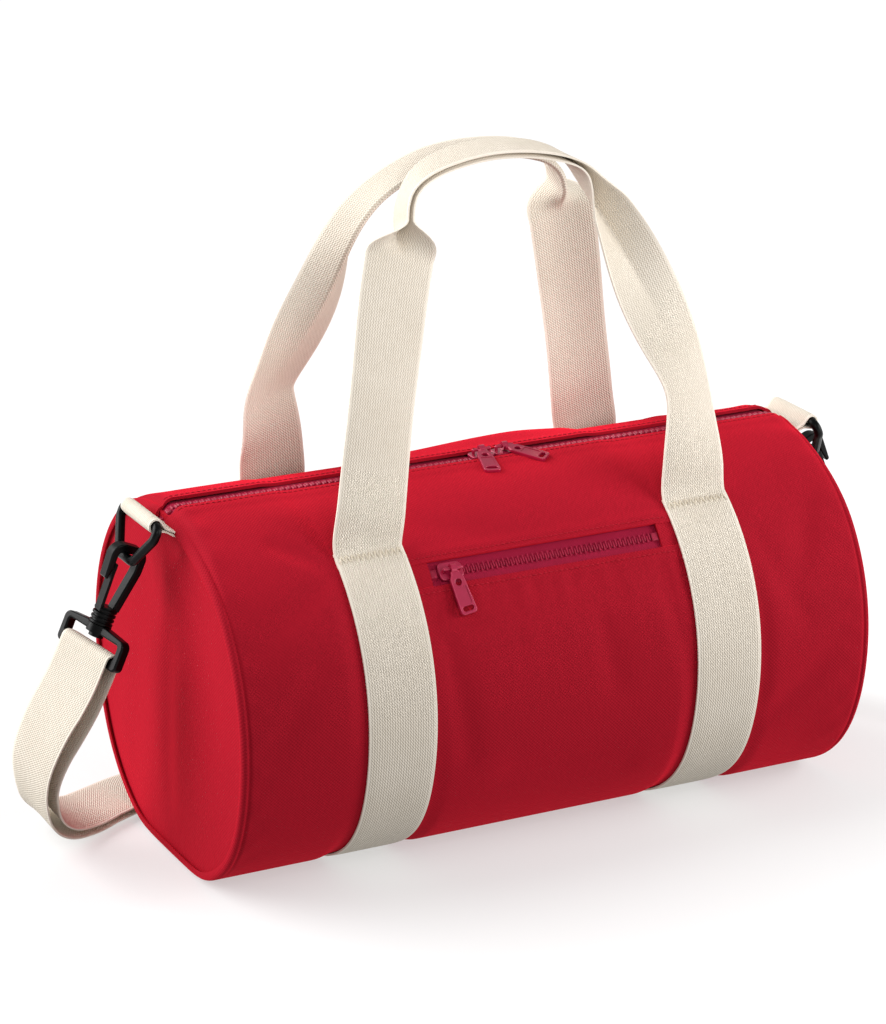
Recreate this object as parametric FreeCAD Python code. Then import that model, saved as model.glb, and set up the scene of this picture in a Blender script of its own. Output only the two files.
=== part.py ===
import FreeCAD
import Part
import math
import os
from FreeCAD import Placement, Rotation, Vector

# Barrel bag in millimetres: X along the barrel, front towards -Y, Z up.
# The origin is the middle of the flat base.
# Angles round the barrel are in degrees from the top, growing towards the front.

# Barrel
BARREL_LENGTH = 385.0
BARREL_RADIUS = 105.0
BASE_WIDTH = 70.0
CANVAS = 2.2
BINDING = 1.2
BINDING_WIDTH = 12.0
SEWN_GAP = 0.3

# Webbing
WEBBING_WIDTH = 40.0
WEBBING = 1.6
BAND_CENTRE = 100.0
STITCH_ANGLE = 36.0

# Mouth
LIP_ANGLE = 32.0
LIP_REACH = 150.0
ZIP_SLOT = 14.0
TAPE = 0.8
TAPE_SEAM_ANGLE = 10.0
TAPE_GAP = 0.15
SLIDER_MEETING = 7.0
MAIN_PITCH = 3.6

# Front pocket
POCKET_ANGLE = 47.5
POCKET_LENGTH = 140.0
POCKET_PITCH = 3.0
POUCH_MARGIN = 5.0
POUCH_BOTTOM = 52.0
POUCH_WALL = 1.0

# Zip parts
TOOTH_HEIGHT = 2.6
TOOTH_GAP = 0.3
TOOTH_REACH = 1.4
BEAD_INNER = 1.6
BEAD_OUTER = 2.5
SLIDER_LENGTH = 14.0
SLIDER_WIDTH = 10.0
SLIDER_PLATE = 1.2
SLIDER_CHANNEL = 3.8
SLIDER_FLANGE = 1.0
TAPE_SLOT = 1.8
POST_LENGTH = 3.0
POST_WIDTH = 2.2
BAIL_ROD = 1.8
BAIL_SPAN = 10.0
BAIL_RISE = 4.4
EYE_WIDTH = 3.2
EYE_WALL = 1.2
EYE_CLEARANCE = 0.35
PULL_LENGTH = 26.0
PULL_WIDTH = 9.8
PULL_SHOULDER = 8.2
PULL_NECK = 5.0
PULL_THROAT = 1.75
PULL_FLARE = 2.4
PULL_HOLE = 3.8
PULL_SLOT = 2.8
PULL_EDGE = 1.6
PULL_RECESS = 0.3
PULL_THICKNESS = 2.0
PULL_TILT = 10.5
STOP_LENGTH = 4.0
STOP_WIDTH = 4.8

# Handles
GRIP_TOP = 377.5
GRIP_OFFSET = 12.5
NECK_SPREAD = 60.0
NECK_DROP = 28.0
FOLD_LENGTH = 22.0
LEG_BOW = 15.0
BOW_HEIGHT = 62.0
GRIP_WIDTH = 20.0
GRIP_THICKNESS = 3.6

# Tabs, rings and clips, drawn hanging straight down from the ring's bar
TAB_OUT = 10.5
TAB_BELOW_TOP = 4.5
TAB_SLOPE = 8.0
CLIP_LEAN = 24.0
RING_ROD = 5.0
RING_INNER = 42.0
RING_DROP = 24.0
RING_FOOT = 16.0
RING_SHOULDER = 6.0
HOOK_WIDTH = 8.0
HOOK_ARM = 4.5
HOOK_BIGHT = 12.0
CLAW_TIP = -37.5
COLLAR_TOP = -52.5
COLLAR_BOTTOM = -62.5
COLLAR_DIAMETER = 13.0
GATE_WIDTH = 7.0
GATE_THICKNESS = 1.6
GATE_X = -4.2
GATE_PIVOT = -54.0
GATE_TIP = -28.3
POST_DIAMETER = 5.8
POST_CLEARANCE = 0.1
BRIDGE_TOP = -62.8
BRIDGE_BOTTOM = -67.5
SLOT_BOTTOM = -75.5
BASE_BAR = 6.0
BASE_OUTER = 52.0
BASE_TURN = 16.0
BAR_SLACK = 0.8

# Shoulder strap and its adjuster, on the floor behind the bag
STRAP_LINE = 88.0
STRAP_FLOOR = 1.4
STRAP_BOW = 31.0
LAYER_STEP = 2.1
ADJUSTER_X = 20.0
ADJUSTER_LENGTH = 38.0
ADJUSTER_BAR = 4.0
ADJUSTER_THICKNESS = 2.6
ADJUSTER_HEIGHT = 7.9
ADJUSTER_SLACK = 0.6

HALF = BARREL_LENGTH / 2
POUCH_LENGTH = POCKET_LENGTH + 2 * POUCH_MARGIN
AXIS_Z = math.sqrt(BARREL_RADIUS ** 2 - (BASE_WIDTH / 2) ** 2)
TOP = AXIS_Z + BARREL_RADIUS
BAND_GROOVE = WEBBING + SEWN_GAP
TAPE_OUTER = BARREL_RADIUS - CANVAS - TAPE_GAP
TAPE_Z = AXIS_Z + TAPE_OUTER - TAPE / 2
BAR_Z = SLOT_BOTTOM - BASE_BAR / 2
AXIS = Vector(0, 0, AXIS_Z)
X = Vector(1, 0, 0)
Y = Vector(0, 1, 0)
Z = Vector(0, 0, 1)


def around(angle, radius, x=0.0):
    """The point at an angle from the top towards the front, a radius from the barrel's axis."""
    turn = math.radians(angle)
    return Vector(x, -radius * math.sin(turn), AXIS_Z + radius * math.cos(turn))


def barrel(offset, x0, x1, floor):
    """The barrel's section grown by offset and cut flat at the floor height, from x0 to x1."""
    radius = BARREL_RADIUS + offset
    half = math.sqrt(radius ** 2 - (AXIS_Z - floor) ** 2)
    front = Vector(x0, -half, floor)
    back = Vector(x0, half, floor)
    arc = Part.Arc(front, Vector(x0, 0, AXIS_Z + radius), back).toShape()
    wire = Part.Wire([arc, Part.makeLine(back, front)])
    return Part.Face(wire).extrude(X * (x1 - x0))


def sector(inner, outer, a0, a1, x0, x1):
    """A curved strip between two radii and two angles, from x0 to x1."""
    mid = (a0 + a1) / 2
    arc_out = Part.Arc(around(a0, outer, x0), around(mid, outer, x0), around(a1, outer, x0))
    arc_in = Part.Arc(around(a1, inner, x0), around(mid, inner, x0), around(a0, inner, x0))
    side_1 = Part.makeLine(around(a1, outer, x0), around(a1, inner, x0))
    side_0 = Part.makeLine(around(a0, inner, x0), around(a0, outer, x0))
    wire = Part.Wire([arc_out.toShape(), side_1, arc_in.toShape(), side_0])
    return Part.Face(wire).extrude(X * (x1 - x0))


def block(x0, x1, y0, y1, z0, z1):
    """A box between two corners."""
    return Part.makeBox(x1 - x0, y1 - y0, z1 - z0, Vector(x0, y0, z0))


def rounded(points, place):
    """A closed outline of (u, v, radius) corners, with place(u, v) giving the point in space."""
    edges = []
    ends = []
    count = len(points)
    for i in range(count):
        u, v, radius = points[i]
        here = Vector(u, v, 0)
        before = Vector(points[i - 1][0], points[i - 1][1], 0) - here
        after = Vector(points[(i + 1) % count][0], points[(i + 1) % count][1], 0) - here
        if radius == 0:
            ends.append((here, here, here))
            continue
        half = before.getAngle(after) / 2
        cut = radius / math.tan(half)
        start = here + before.normalize() * cut
        end = here + after.normalize() * cut
        inward = (before + after).normalize()
        middle = here + inward * (radius / math.sin(half) - radius)
        ends.append((start, middle, end))
    for i in range(count):
        start, middle, end = ends[i]
        if start != end:
            arc = [place(p.x, p.y) for p in (start, middle, end)]
            edges.append(Part.Arc(*arc).toShape())
        following = ends[(i + 1) % count][0]
        edges.append(Part.makeLine(place(end.x, end.y), place(following.x, following.y)))
    return Part.Wire(edges)


def plate(points, holes, place, depth):
    """A rounded outline with rounded holes, pushed out by a depth vector."""
    face = Part.Face(rounded(points, place))
    for hole in holes:
        face = face.cut(Part.Face(rounded(hole, place)))
    return face.extrude(depth)


def box_corners(u0, u1, v0, v1, radius):
    """The four corners of a rectangle as (u, v, radius)."""
    return [(u0, v0, radius), (u1, v0, radius), (u1, v1, radius), (u0, v1, radius)]


def softened(solid, radius, keep):
    """The solid with the edges that keep(edge) picks rounded off."""
    return solid.makeFillet(radius, [edge for edge in solid.Edges if keep(edge)])


def rod(start, end, radius):
    """A round rod between two points."""
    return Part.makeCylinder(radius, (end - start).Length, start, end - start)


def turned(shape, base, axis, angle):
    """A copy of the shape turned about an axis through a point."""
    copy = shape.copy()
    copy.rotate(base, axis, angle)
    return copy


def ribbon(points, width, thickness, level):
    """Webbing along a path of rounded corners, its width kept along level(point)."""
    stations = [points[0]]
    for before, here, after in zip(points, points[1:], points[2:]):
        back = before - here
        ahead = after - here
        cut = 0.45 * min(back.Length, ahead.Length)
        half = back.getAngle(ahead) / 2
        back.normalize()
        ahead.normalize()
        steps = max(2, math.ceil((180 - 2 * math.degrees(half)) / 12))
        centre = here + (back + ahead).normalize() * (cut / math.cos(half))
        spoke = here + back * cut - centre
        axis = back.cross(ahead)
        for step in range(steps + 1):
            turn = Rotation(axis, -(180 - 2 * math.degrees(half)) * step / steps)
            stations.append(centre + turn.multVec(spoke))
    stations.append(points[-1])
    wires = []
    for i, here in enumerate(stations):
        along = stations[min(i + 1, len(stations) - 1)] - stations[max(i - 1, 0)]
        along.normalize()
        lie = level(here)
        across = (lie - along * lie.dot(along)).normalize() * (width / 2)
        up = along.cross(across).normalize() * (thickness / 2)
        ring = [here + across + up, here - across + up, here - across - up, here + across - up]
        wires.append(Part.makePolygon(ring + ring[:1]))
    return Part.makeLoft(wires, True, True)


def comb(x0, x1, pitch, side, shift, bare=None):
    """One row of zip teeth on its bead: side -1 is the front row, +1 the back row."""
    outline = [(x0, BEAD_OUTER), (x0, BEAD_INNER)]
    tooth = pitch / 2 - TOOTH_GAP
    first = math.ceil((x0 + tooth / 2 - shift) / pitch)
    last = math.floor((x1 - tooth / 2 - shift) / pitch)
    for i in range(first, last + 1):
        centre = i * pitch + shift
        if bare and bare[0] < centre < bare[1]:
            continue
        left = max(centre - tooth / 2, x0)
        right = min(centre + tooth / 2, x1)
        outline += [(left, BEAD_INNER), (left, -TOOTH_REACH)]
        outline += [(right, -TOOTH_REACH), (right, BEAD_INNER)]
    outline += [(x1, BEAD_INNER), (x1, BEAD_OUTER)]
    points = []
    for x, y in outline:
        here = Vector(x, side * y, TAPE_Z - TOOTH_HEIGHT / 2)
        if not points or (here - points[-1]).Length > 1e-6:
            points.append(here)
    return Part.Face(Part.makePolygon(points + points[:1])).extrude(Z * TOOTH_HEIGHT)


def zip_tape(side, x0, x1):
    """The tape from its bead out under the canvas, at the top of the barrel."""
    edge = math.degrees(math.asin(BEAD_OUTER / (TAPE_OUTER - TAPE)))
    return sector(TAPE_OUTER - TAPE, TAPE_OUTER, -side * edge, -side * TAPE_SEAM_ANGLE, x0, x1)


def slider(x):
    """A slider on the chain: two plates held by a post, side flanges and a bail for the pull."""
    half = SLIDER_LENGTH / 2
    wide = SLIDER_WIDTH / 2
    inner = SLIDER_CHANNEL / 2
    post = POST_LENGTH / 2
    solid = block(-post, post, -POST_WIDTH / 2, POST_WIDTH / 2, -inner - 0.2, inner + 0.2)
    for up in (1, -1):
        shape = [(-half, -wide, 2.5), (half, -wide, 3.5), (half, wide, 3.5), (-half, wide, 2.5)]
        base = inner if up > 0 else -inner - SLIDER_PLATE
        cover = plate(shape, [], lambda u, v: Vector(u, v, base), Z * SLIDER_PLATE)
        outer = inner + SLIDER_PLATE
        cover = softened(cover, 0.5, lambda e: abs(e.CenterOfMass.z - up * outer) < 1e-6)
        solid = solid.fuse(cover)
        for side in (1, -1):
            y0, y1 = sorted((side * wide, side * (wide - SLIDER_FLANGE)))
            z0, z1 = sorted((up * TAPE_SLOT / 2, up * (inner + SLIDER_PLATE / 2)))
            solid = solid.fuse(block(3.5 - half, half - 3.5, y0, y1, z0, z1))
    roof = inner + SLIDER_PLATE
    bar = roof + BAIL_RISE - BAIL_ROD
    for end in (1, -1):
        foot = Vector(end * BAIL_SPAN / 2, 0, roof - 0.4)
        head = Vector(end * BAIL_SPAN / 2, 0, bar)
        solid = solid.fuse(rod(foot, head, BAIL_ROD / 2))
        solid = solid.fuse(Part.makeSphere(BAIL_ROD / 2, head))
    ends = [Vector(end * BAIL_SPAN / 2, 0, bar) for end in (-1, 1)]
    solid = solid.fuse(rod(ends[0], ends[1], BAIL_ROD / 2)).removeSplitter()
    solid.translate(Vector(x, 0, TAPE_Z))
    return solid


def pull(x, yaw):
    """A pull lying to the front of its slider: an eye on the bail and a tapered plate.

    The plate has a round hole by the eye, a slot across its tip and a shallow recess between them.
    """
    eye = BAIL_ROD / 2 + EYE_CLEARANCE
    wide = PULL_WIDTH / 2
    neck = PULL_NECK / 2
    shoulder = PULL_SHOULDER / 2
    start = eye + EYE_WALL / 2
    bend = start + PULL_THROAT
    top = bend + PULL_FLARE
    shape = [(-neck, -start, 0), (neck, -start, 0), (neck, -bend, 0.8), (shoulder, -top, 1.4)]
    shape += [(wide, -PULL_LENGTH, 2), (-wide, -PULL_LENGTH, 2), (-shoulder, -top, 1.4), (-neck, -bend, 0.8)]
    hole = PULL_HOLE / 2
    hole_top = -top - 0.2
    hole_end = hole_top - PULL_HOLE
    slot = wide - PULL_EDGE
    slot_end = -PULL_LENGTH + PULL_EDGE
    slot_top = slot_end + PULL_SLOT
    holes = [box_corners(-hole, hole, hole_end, hole_top, hole - 0.02)]
    holes += [box_corners(-slot, slot, slot_end, slot_top, PULL_SLOT / 2 - 0.02)]
    flat = PULL_THICKNESS / 2
    tab = plate(shape, holes, lambda u, v: Vector(u, v, -flat), Z * PULL_THICKNESS)
    tab = softened(tab, 0.4, lambda e: abs(abs(e.CenterOfMass.z) - flat) < 1e-6 and e.CenterOfMass.y < -top)
    face = shoulder - PULL_EDGE / 2
    recess = [(-face, hole_end - 1, 0.5), (face, hole_end - 1, 0.5)]
    recess += [(slot, slot_top + 1, 0.5), (-slot, slot_top + 1, 0.5)]
    tab = tab.cut(plate(recess, [], lambda u, v: Vector(u, v, flat - PULL_RECESS), Z * PULL_THICKNESS))
    tab = turned(tab, Vector(), Z, yaw)
    ring = rod(Vector(-EYE_WIDTH / 2, 0, 0), Vector(EYE_WIDTH / 2, 0, 0), eye + EYE_WALL)
    bore = rod(Vector(-wide, 0, 0), Vector(wide, 0, 0), eye)
    solid = tab.fuse(ring).cut(bore).removeSplitter()
    solid = turned(solid, Vector(), X, PULL_TILT)
    bar = SLIDER_CHANNEL / 2 + SLIDER_PLATE + BAIL_RISE - BAIL_ROD
    solid.translate(Vector(x, 0, TAPE_Z + bar))
    return solid


def stop(x):
    """A moulded stop across the end of the chain."""
    half = STOP_LENGTH / 2
    wide = STOP_WIDTH / 2
    solid = block(x - half, x + half, -wide, wide, TAPE_Z - 1.6, TAPE_Z + 1.6)
    solid = softened(solid, 0.6, lambda e: abs(e.CenterOfMass.z - TAPE_Z) > 1.5)
    return solid


def to_pocket(shape):
    """The shape carried from the top of the barrel round to the pocket's zip."""
    return turned(shape, AXIS, X, POCKET_ANGLE)


# Canvas body: a tube with a trough for each band under the base, a mouth and a pocket slot
inside = HALF - CANVAS
band_half = WEBBING_WIDTH / 2
trough = band_half + SEWN_GAP
main_panel = barrel(0, -inside, inside, 0)
cavity = barrel(-CANVAS, -HALF, HALF, CANVAS)
for side in (-1, 1):
    middle = side * BAND_CENTRE
    main_panel = main_panel.cut(block(middle - trough, middle + trough, -HALF, HALF, -1, BAND_GROOVE))
    raised = trough + CANVAS
    floor = BAND_GROOVE + CANVAS
    cavity = cavity.cut(block(middle - raised, middle + raised, -HALF, HALF, 0, floor))
main_panel = main_panel.cut(cavity)
reach = BARREL_RADIUS + 5
mouth_edge = LIP_ANGLE + math.degrees(SEWN_GAP / BARREL_RADIUS)
mouth = sector(1, reach, -mouth_edge, mouth_edge, -LIP_REACH - SEWN_GAP, LIP_REACH + SEWN_GAP)
main_panel = main_panel.cut(mouth)
main_panel = main_panel.cut(block(-HALF, HALF, -ZIP_SLOT / 2, ZIP_SLOT / 2, AXIS_Z, TOP + 5))
pocket_reach = POCKET_LENGTH / 2
slot = block(-pocket_reach, pocket_reach, -ZIP_SLOT / 2, ZIP_SLOT / 2, TAPE_Z - 8, TOP + 5)
main_panel = main_panel.cut(to_pocket(slot))

slot_angle = math.degrees(math.asin(ZIP_SLOT / 2 / BARREL_RADIUS))
lip = (BARREL_RADIUS - CANVAS, BARREL_RADIUS)
front_lip_panel = sector(*lip, slot_angle, LIP_ANGLE, -LIP_REACH, LIP_REACH)
back_lip_panel = sector(*lip, -slot_angle, -LIP_ANGLE, -LIP_REACH, LIP_REACH)

end_panel = barrel(0, inside, HALF, 0)

# Binding over the seam inside each end, open at the top where the zip runs in
binding_edge = inside - BINDING_WIDTH
binding_skin = CANVAS + SEWN_GAP
binding_out = barrel(-binding_skin, binding_edge, inside, binding_skin)
binding_in = barrel(-binding_skin - BINDING, binding_edge - 1, inside + 1, binding_skin + BINDING)
binding_gap = sector(1, reach, -TAPE_SEAM_ANGLE - 1, TAPE_SEAM_ANGLE + 1, binding_edge - 1, inside + 1)
seam_binding = binding_out.cut(binding_in).cut(binding_gap)

# Webbing bands, flat under the base and ending at the handles' stitches
band_outer = barrel(SEWN_GAP + WEBBING, -band_half, band_half, 0)
band_inner = barrel(SEWN_GAP, -band_half - 1, band_half + 1, WEBBING)
band_top = sector(1, reach, 1 - STITCH_ANGLE, STITCH_ANGLE - 1, -band_half - 1, band_half + 1)
band = band_outer.cut(band_inner).cut(band_top)

# Handle: two flat legs, folded into a narrow double grip along an arc
foot_radius = BARREL_RADIUS + SEWN_GAP + WEBBING + 0.2 + WEBBING / 2
foot = around(STITCH_ANGLE, foot_radius)
crown = Vector(0, -GRIP_OFFSET, GRIP_TOP)
rise = (crown - foot).Length
upward = (crown - foot).normalize()
outward = upward.cross(X).normalize()
if outward.y > 0:
    outward = outward * -1
arc_radius = (NECK_SPREAD ** 2 + NECK_DROP ** 2) / (2 * NECK_DROP)
arc_half = math.asin(NECK_SPREAD / arc_radius)


def on_handle(x, up, out):
    """A point in the handle's own plane: across, up from the stitches, and out of the plane."""
    return foot + X * x + upward * up + outward * out


def section(x, up, along_x, along_up, across, deep):
    """A rectangle across the webbing at a point, square to a direction in the handle's plane."""
    u = Vector(along_up, -along_x, 0) * (across / 2)
    corners = []
    for p, q in ((-1, -1), (1, -1), (1, 1), (-1, 1)):
        corners.append(on_handle(x + p * u.x, up + p * u.y, q * deep / 2))
    return Part.makePolygon(corners + corners[:1])


neck_up = rise - NECK_DROP
lean = Vector(BAND_CENTRE - NECK_SPREAD, neck_up, 0).normalize()
fold = neck_up - FOLD_LENGTH
fold_x = -BAND_CENTRE + lean.x / lean.y * fold
leg_feet = section(-BAND_CENTRE, 0, 0, 1, WEBBING_WIDTH, WEBBING)
leg_fold = section(fold_x, fold, lean.x, lean.y, WEBBING_WIDTH, WEBBING)
neck_x = math.cos(arc_half)
neck_y = math.sin(arc_half)
neck = section(-NECK_SPREAD, neck_up, neck_x, neck_y, GRIP_THICKNESS, GRIP_WIDTH)
toe_ends = [on_handle(-BAND_CENTRE + end * band_half, 0, 0) for end in (-1, 1)]
toe = rod(toe_ends[0], toe_ends[1], WEBBING / 2)


def leg(bow):
    """The left leg from its stitches to the neck, with its slack bowed out sideways."""
    bow_x = -BAND_CENTRE + lean.x / lean.y * BOW_HEIGHT - bow
    slack = section(bow_x, BOW_HEIGHT, 0, 1, WEBBING_WIDTH, WEBBING)
    return Part.makeLoft([leg_feet, slack, leg_fold, neck], True, True).fuse(toe)


arc_centre = on_handle(0, rise - arc_radius, 0)
grip = Part.Face(neck).revolve(arc_centre, outward, -2 * math.degrees(arc_half))
if grip.BoundBox.XMax < 1:
    grip = Part.Face(neck).revolve(arc_centre, outward, 2 * math.degrees(arc_half))
slack_leg = leg(LEG_BOW).mirror(Vector(), X)
front_handle = leg(0).fuse(grip).fuse(slack_leg).removeSplitter()

# Main zip: the middle of the chain is on the lips, the ends stay with the barrel
mid = (-LIP_REACH, LIP_REACH)
bare = (SLIDER_MEETING - SLIDER_LENGTH - 1, SLIDER_MEETING + SLIDER_LENGTH + 1)
front_zip_tape = zip_tape(-1, *mid)
back_zip_tape = zip_tape(1, *mid)
front_zip_teeth = comb(*mid, MAIN_PITCH, -1, 0, bare)
back_zip_teeth = comb(*mid, MAIN_PITCH, 1, MAIN_PITCH / 2, bare)
end_run = (LIP_REACH + SEWN_GAP, inside - STOP_LENGTH - 1)
zip_end_tapes = Part.makeCompound([zip_tape(side, *end_run) for side in (-1, 1)])
zip_end_teeth = Part.makeCompound(
    [comb(*end_run, MAIN_PITCH, -1, 0), comb(*end_run, MAIN_PITCH, 1, MAIN_PITCH / 2)]
)
zip_stop = stop(end_run[1] + SEWN_GAP / 2 + STOP_LENGTH / 2)
step = SLIDER_LENGTH / 2 + SEWN_GAP / 2
main_slider_left = slider(SLIDER_MEETING - step)
main_slider_right = slider(SLIDER_MEETING + step)
main_pull_left = pull(SLIDER_MEETING - step, -12)
main_pull_right = pull(SLIDER_MEETING + step, 40)

# Pocket zip, built at the top and carried round to the front
pocket_run = (-pocket_reach + SEWN_GAP, pocket_reach - SEWN_GAP)
pocket_x = -pocket_reach + STOP_LENGTH + 1 + SLIDER_LENGTH / 2
pocket_chain = (pocket_run[0] + STOP_LENGTH + SEWN_GAP, pocket_run[1] - STOP_LENGTH - SEWN_GAP)
pocket_bare = (pocket_x - SLIDER_LENGTH / 2 - 1, pocket_x + SLIDER_LENGTH / 2 + 1)
tape_run = (-POUCH_LENGTH / 2, POUCH_LENGTH / 2)
pocket_upper_tape = to_pocket(zip_tape(1, *tape_run))
pocket_lower_tape = to_pocket(zip_tape(-1, *tape_run))
pocket_upper_teeth = to_pocket(comb(*pocket_chain, POCKET_PITCH, 1, POCKET_PITCH / 2, pocket_bare))
pocket_lower_teeth = to_pocket(comb(*pocket_chain, POCKET_PITCH, -1, 0, pocket_bare))
stops = [stop(end * (pocket_run[1] - STOP_LENGTH / 2)) for end in (-1, 1)]
pocket_stops = to_pocket(Part.makeCompound(stops))
pocket_slider = to_pocket(slider(pocket_x))
pocket_pull = to_pocket(pull(pocket_x, 8))

# Pouch behind the pocket's zip, open at the top under the slot
tape_in = TAPE_OUTER - TAPE - TAPE_GAP
low = around(POCKET_ANGLE + TAPE_SEAM_ANGLE - 1, tape_in)
high = around(POCKET_ANGLE - TAPE_SEAM_ANGLE + 1, tape_in)
rear = high.y + POUCH_WALL
pouch_out = [(low.y, low.z), (low.y, POUCH_BOTTOM), (rear, POUCH_BOTTOM), (rear, high.z), (high.y, high.z)]
outer_points = [Vector(tape_run[0], y, z) for y, z in pouch_out]
pouch = Part.Face(Part.makePolygon(outer_points + outer_points[:1])).extrude(X * POUCH_LENGTH)
pouch_end = POUCH_LENGTH / 2 - POUCH_WALL
hollow = block(-pouch_end, pouch_end, low.y + POUCH_WALL, high.y, POUCH_BOTTOM + POUCH_WALL, TOP)
pocket_pouch = pouch.cut(hollow)

# Clip: drawn with the ring's bar along Y at the origin, then leaned out and set at the tab
ring_half = RING_INNER / 2
ring_low = RING_DROP - RING_ROD / 2
ring_line = [(-ring_half, -RING_SHOULDER, 2), (-ring_half, -RING_ROD / 2, 1.5)]
ring_line += [(ring_half, -RING_ROD / 2, 1.5), (ring_half, -RING_SHOULDER, 2)]
ring_line += [(RING_FOOT / 2, -ring_low, 3), (-RING_FOOT / 2, -ring_low, 3)]
ring_hole = rounded(ring_line, lambda u, v: Vector(-RING_ROD / 2, u, v))
ring_face = Part.Face(ring_hole.makeOffset2D(RING_ROD)).cut(Part.Face(ring_hole))
d_ring = ring_face.extrude(X * RING_ROD)
d_ring = softened(d_ring, 2.2, lambda e: abs(abs(e.CenterOfMass.x) - RING_ROD / 2) < 1e-6)

bight = HOOK_BIGHT / 2
arm_out = bight + HOOK_ARM
bight_top = -RING_DROP + RING_ROD / 2 + SEWN_GAP
hook_top = bight_top + HOOK_ARM
hook_line = [(6.2, COLLAR_TOP - 1, 0), (arm_out, bight_top - 9, 8), (arm_out, hook_top, 7)]
hook_line += [(-arm_out, hook_top, 7), (1.2 - arm_out, CLAW_TIP, 1.2), (-bight - 1.2, CLAW_TIP, 0.6)]
hook_line += [(-bight, bight_top - 9, 0), (-bight, bight_top, 3), (bight, bight_top, 3)]
hook_line += [(bight, bight_top - 9, 8), (1.8, COLLAR_TOP - 1, 0)]
hook_side = HOOK_WIDTH / 2
arm = plate(hook_line, [], lambda u, v: Vector(u, -hook_side, v), Y * HOOK_WIDTH)


def arm_rim(edge):
    """True for the edges round the arm's two flat sides, above the collar."""
    middle = edge.CenterOfMass
    return abs(abs(middle.y) - hook_side) < 1e-6 and middle.z > COLLAR_TOP


arm = softened(arm, 0.9, arm_rim)
rib = COLLAR_DIAMETER / 2
collar = Part.makeCylinder(rib - 0.9, COLLAR_TOP - COLLAR_BOTTOM, Vector(0, 0, COLLAR_BOTTOM))
rib_pitch = (COLLAR_TOP - COLLAR_BOTTOM) / 4
for i in range(4):
    disc = Part.makeCylinder(rib, rib_pitch * 0.62, Vector(0, 0, COLLAR_BOTTOM + i * rib_pitch))
    collar = collar.fuse(softened(disc, 0.5, lambda e: e.Curve.TypeId == "Part::GeomCircle"))
head_top = BRIDGE_BOTTOM - SEWN_GAP
post = Part.makeCylinder(POST_DIAMETER / 2, COLLAR_BOTTOM - head_top, Vector(0, 0, head_top))
head = Part.makeCylinder(POST_DIAMETER / 2 + 1.3, 2, Vector(0, 0, head_top - 2))
gate_half = GATE_WIDTH / 2
socket = block(GATE_X - 4, GATE_X + 1.5, -gate_half - 0.4, gate_half + 0.4, GATE_PIVOT - 2, COLLAR_TOP + 1)
hook = arm.fuse(collar).fuse(post).fuse(head).removeSplitter().cut(socket)

gate_line = [(GATE_X - 0.9, GATE_PIVOT - 1.5, 0), (-bight + SEWN_GAP, bight_top - 13, 0)]
gate_line += [(-bight + SEWN_GAP, GATE_TIP, 0.7), (-bight + SEWN_GAP + GATE_THICKNESS, GATE_TIP, 0.7)]
gate_line += [(-bight + SEWN_GAP + GATE_THICKNESS, bight_top - 13, 0), (GATE_X + 0.9, GATE_PIVOT - 1.5, 0)]
gate = plate(gate_line, [], lambda u, v: Vector(u, -gate_half, v), Y * GATE_WIDTH)

base_half = BASE_OUTER / 2
slot_half = RING_INNER / 2 + 0.5
base_line = [(-base_half, SLOT_BOTTOM - BASE_BAR, 3), (base_half, SLOT_BOTTOM - BASE_BAR, 3)]
base_line += [(base_half, BRIDGE_BOTTOM + 3, 4), (8, BRIDGE_TOP, 5), (-8, BRIDGE_TOP, 5)]
base_line += [(-base_half, BRIDGE_BOTTOM + 3, 4)]
base_slot = box_corners(-slot_half, slot_half, SLOT_BOTTOM, BRIDGE_BOTTOM, 1.5)
flat = BASE_BAR / 2
swivel_base = plate(base_line, [base_slot], lambda u, v: Vector(-flat, u, v), X * BASE_BAR)
swivel_base = softened(swivel_base, 1.2, lambda e: abs(abs(e.CenterOfMass.x) - flat) < 1e-6)
boss = Part.makeCylinder(COLLAR_DIAMETER / 2, BRIDGE_TOP - BRIDGE_BOTTOM, Vector(0, 0, BRIDGE_BOTTOM))
bore = Part.makeCylinder(POST_DIAMETER / 2 + POST_CLEARANCE, 20, Vector(0, 0, BRIDGE_BOTTOM - 5))
swivel_base = swivel_base.fuse(boss).removeSplitter().cut(bore)
swivel_base = turned(swivel_base, Vector(), Z, BASE_TURN)

tab_point = Vector(-HALF - TAB_OUT, 0, TOP - TAB_BELOW_TOP)


def at_tab(shape):
    """The clip's shape leaned out and set at the left tab."""
    copy = turned(shape, Vector(), Y, CLIP_LEAN)
    copy.translate(tab_point)
    return copy


# Tab: a loop of webbing round the ring's bar, its two layers butted to the end's rim
loop_in = RING_ROD / 2 + SEWN_GAP
loop_out = loop_in + WEBBING
low_y = Vector(0, -band_half, 0)
ring_tube = Part.makeCylinder(loop_out, WEBBING_WIDTH, low_y, Y)
ring_tube = ring_tube.cut(block(0, 20, -HALF, HALF, -20, 20))
layers = block(0, 14, -band_half, band_half, -loop_out, loop_out)
tab = ring_tube.fuse(layers)
tab = tab.cut(Part.makeCylinder(loop_in, WEBBING_WIDTH, low_y, Y))
tab = tab.cut(block(0, 15, -HALF, HALF, -loop_in, loop_in)).removeSplitter()
tab = turned(tab, Vector(), Y, TAB_SLOPE)
tab.translate(tab_point)
tab = tab.cut(barrel(SEWN_GAP / 2, -HALF, 0, 0))


def by_bar(side, u, v):
    """A point by a swivel base's bar, u away from the bag and v up, in the leaned clip's frame."""
    place = Placement(tab_point, Rotation(Y, CLIP_LEAN) * Rotation(Z, BASE_TURN))
    left = place.multVec(Vector(-u, 0, BAR_Z + v))
    return Vector(side * -left.x, left.y, left.z)


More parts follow.
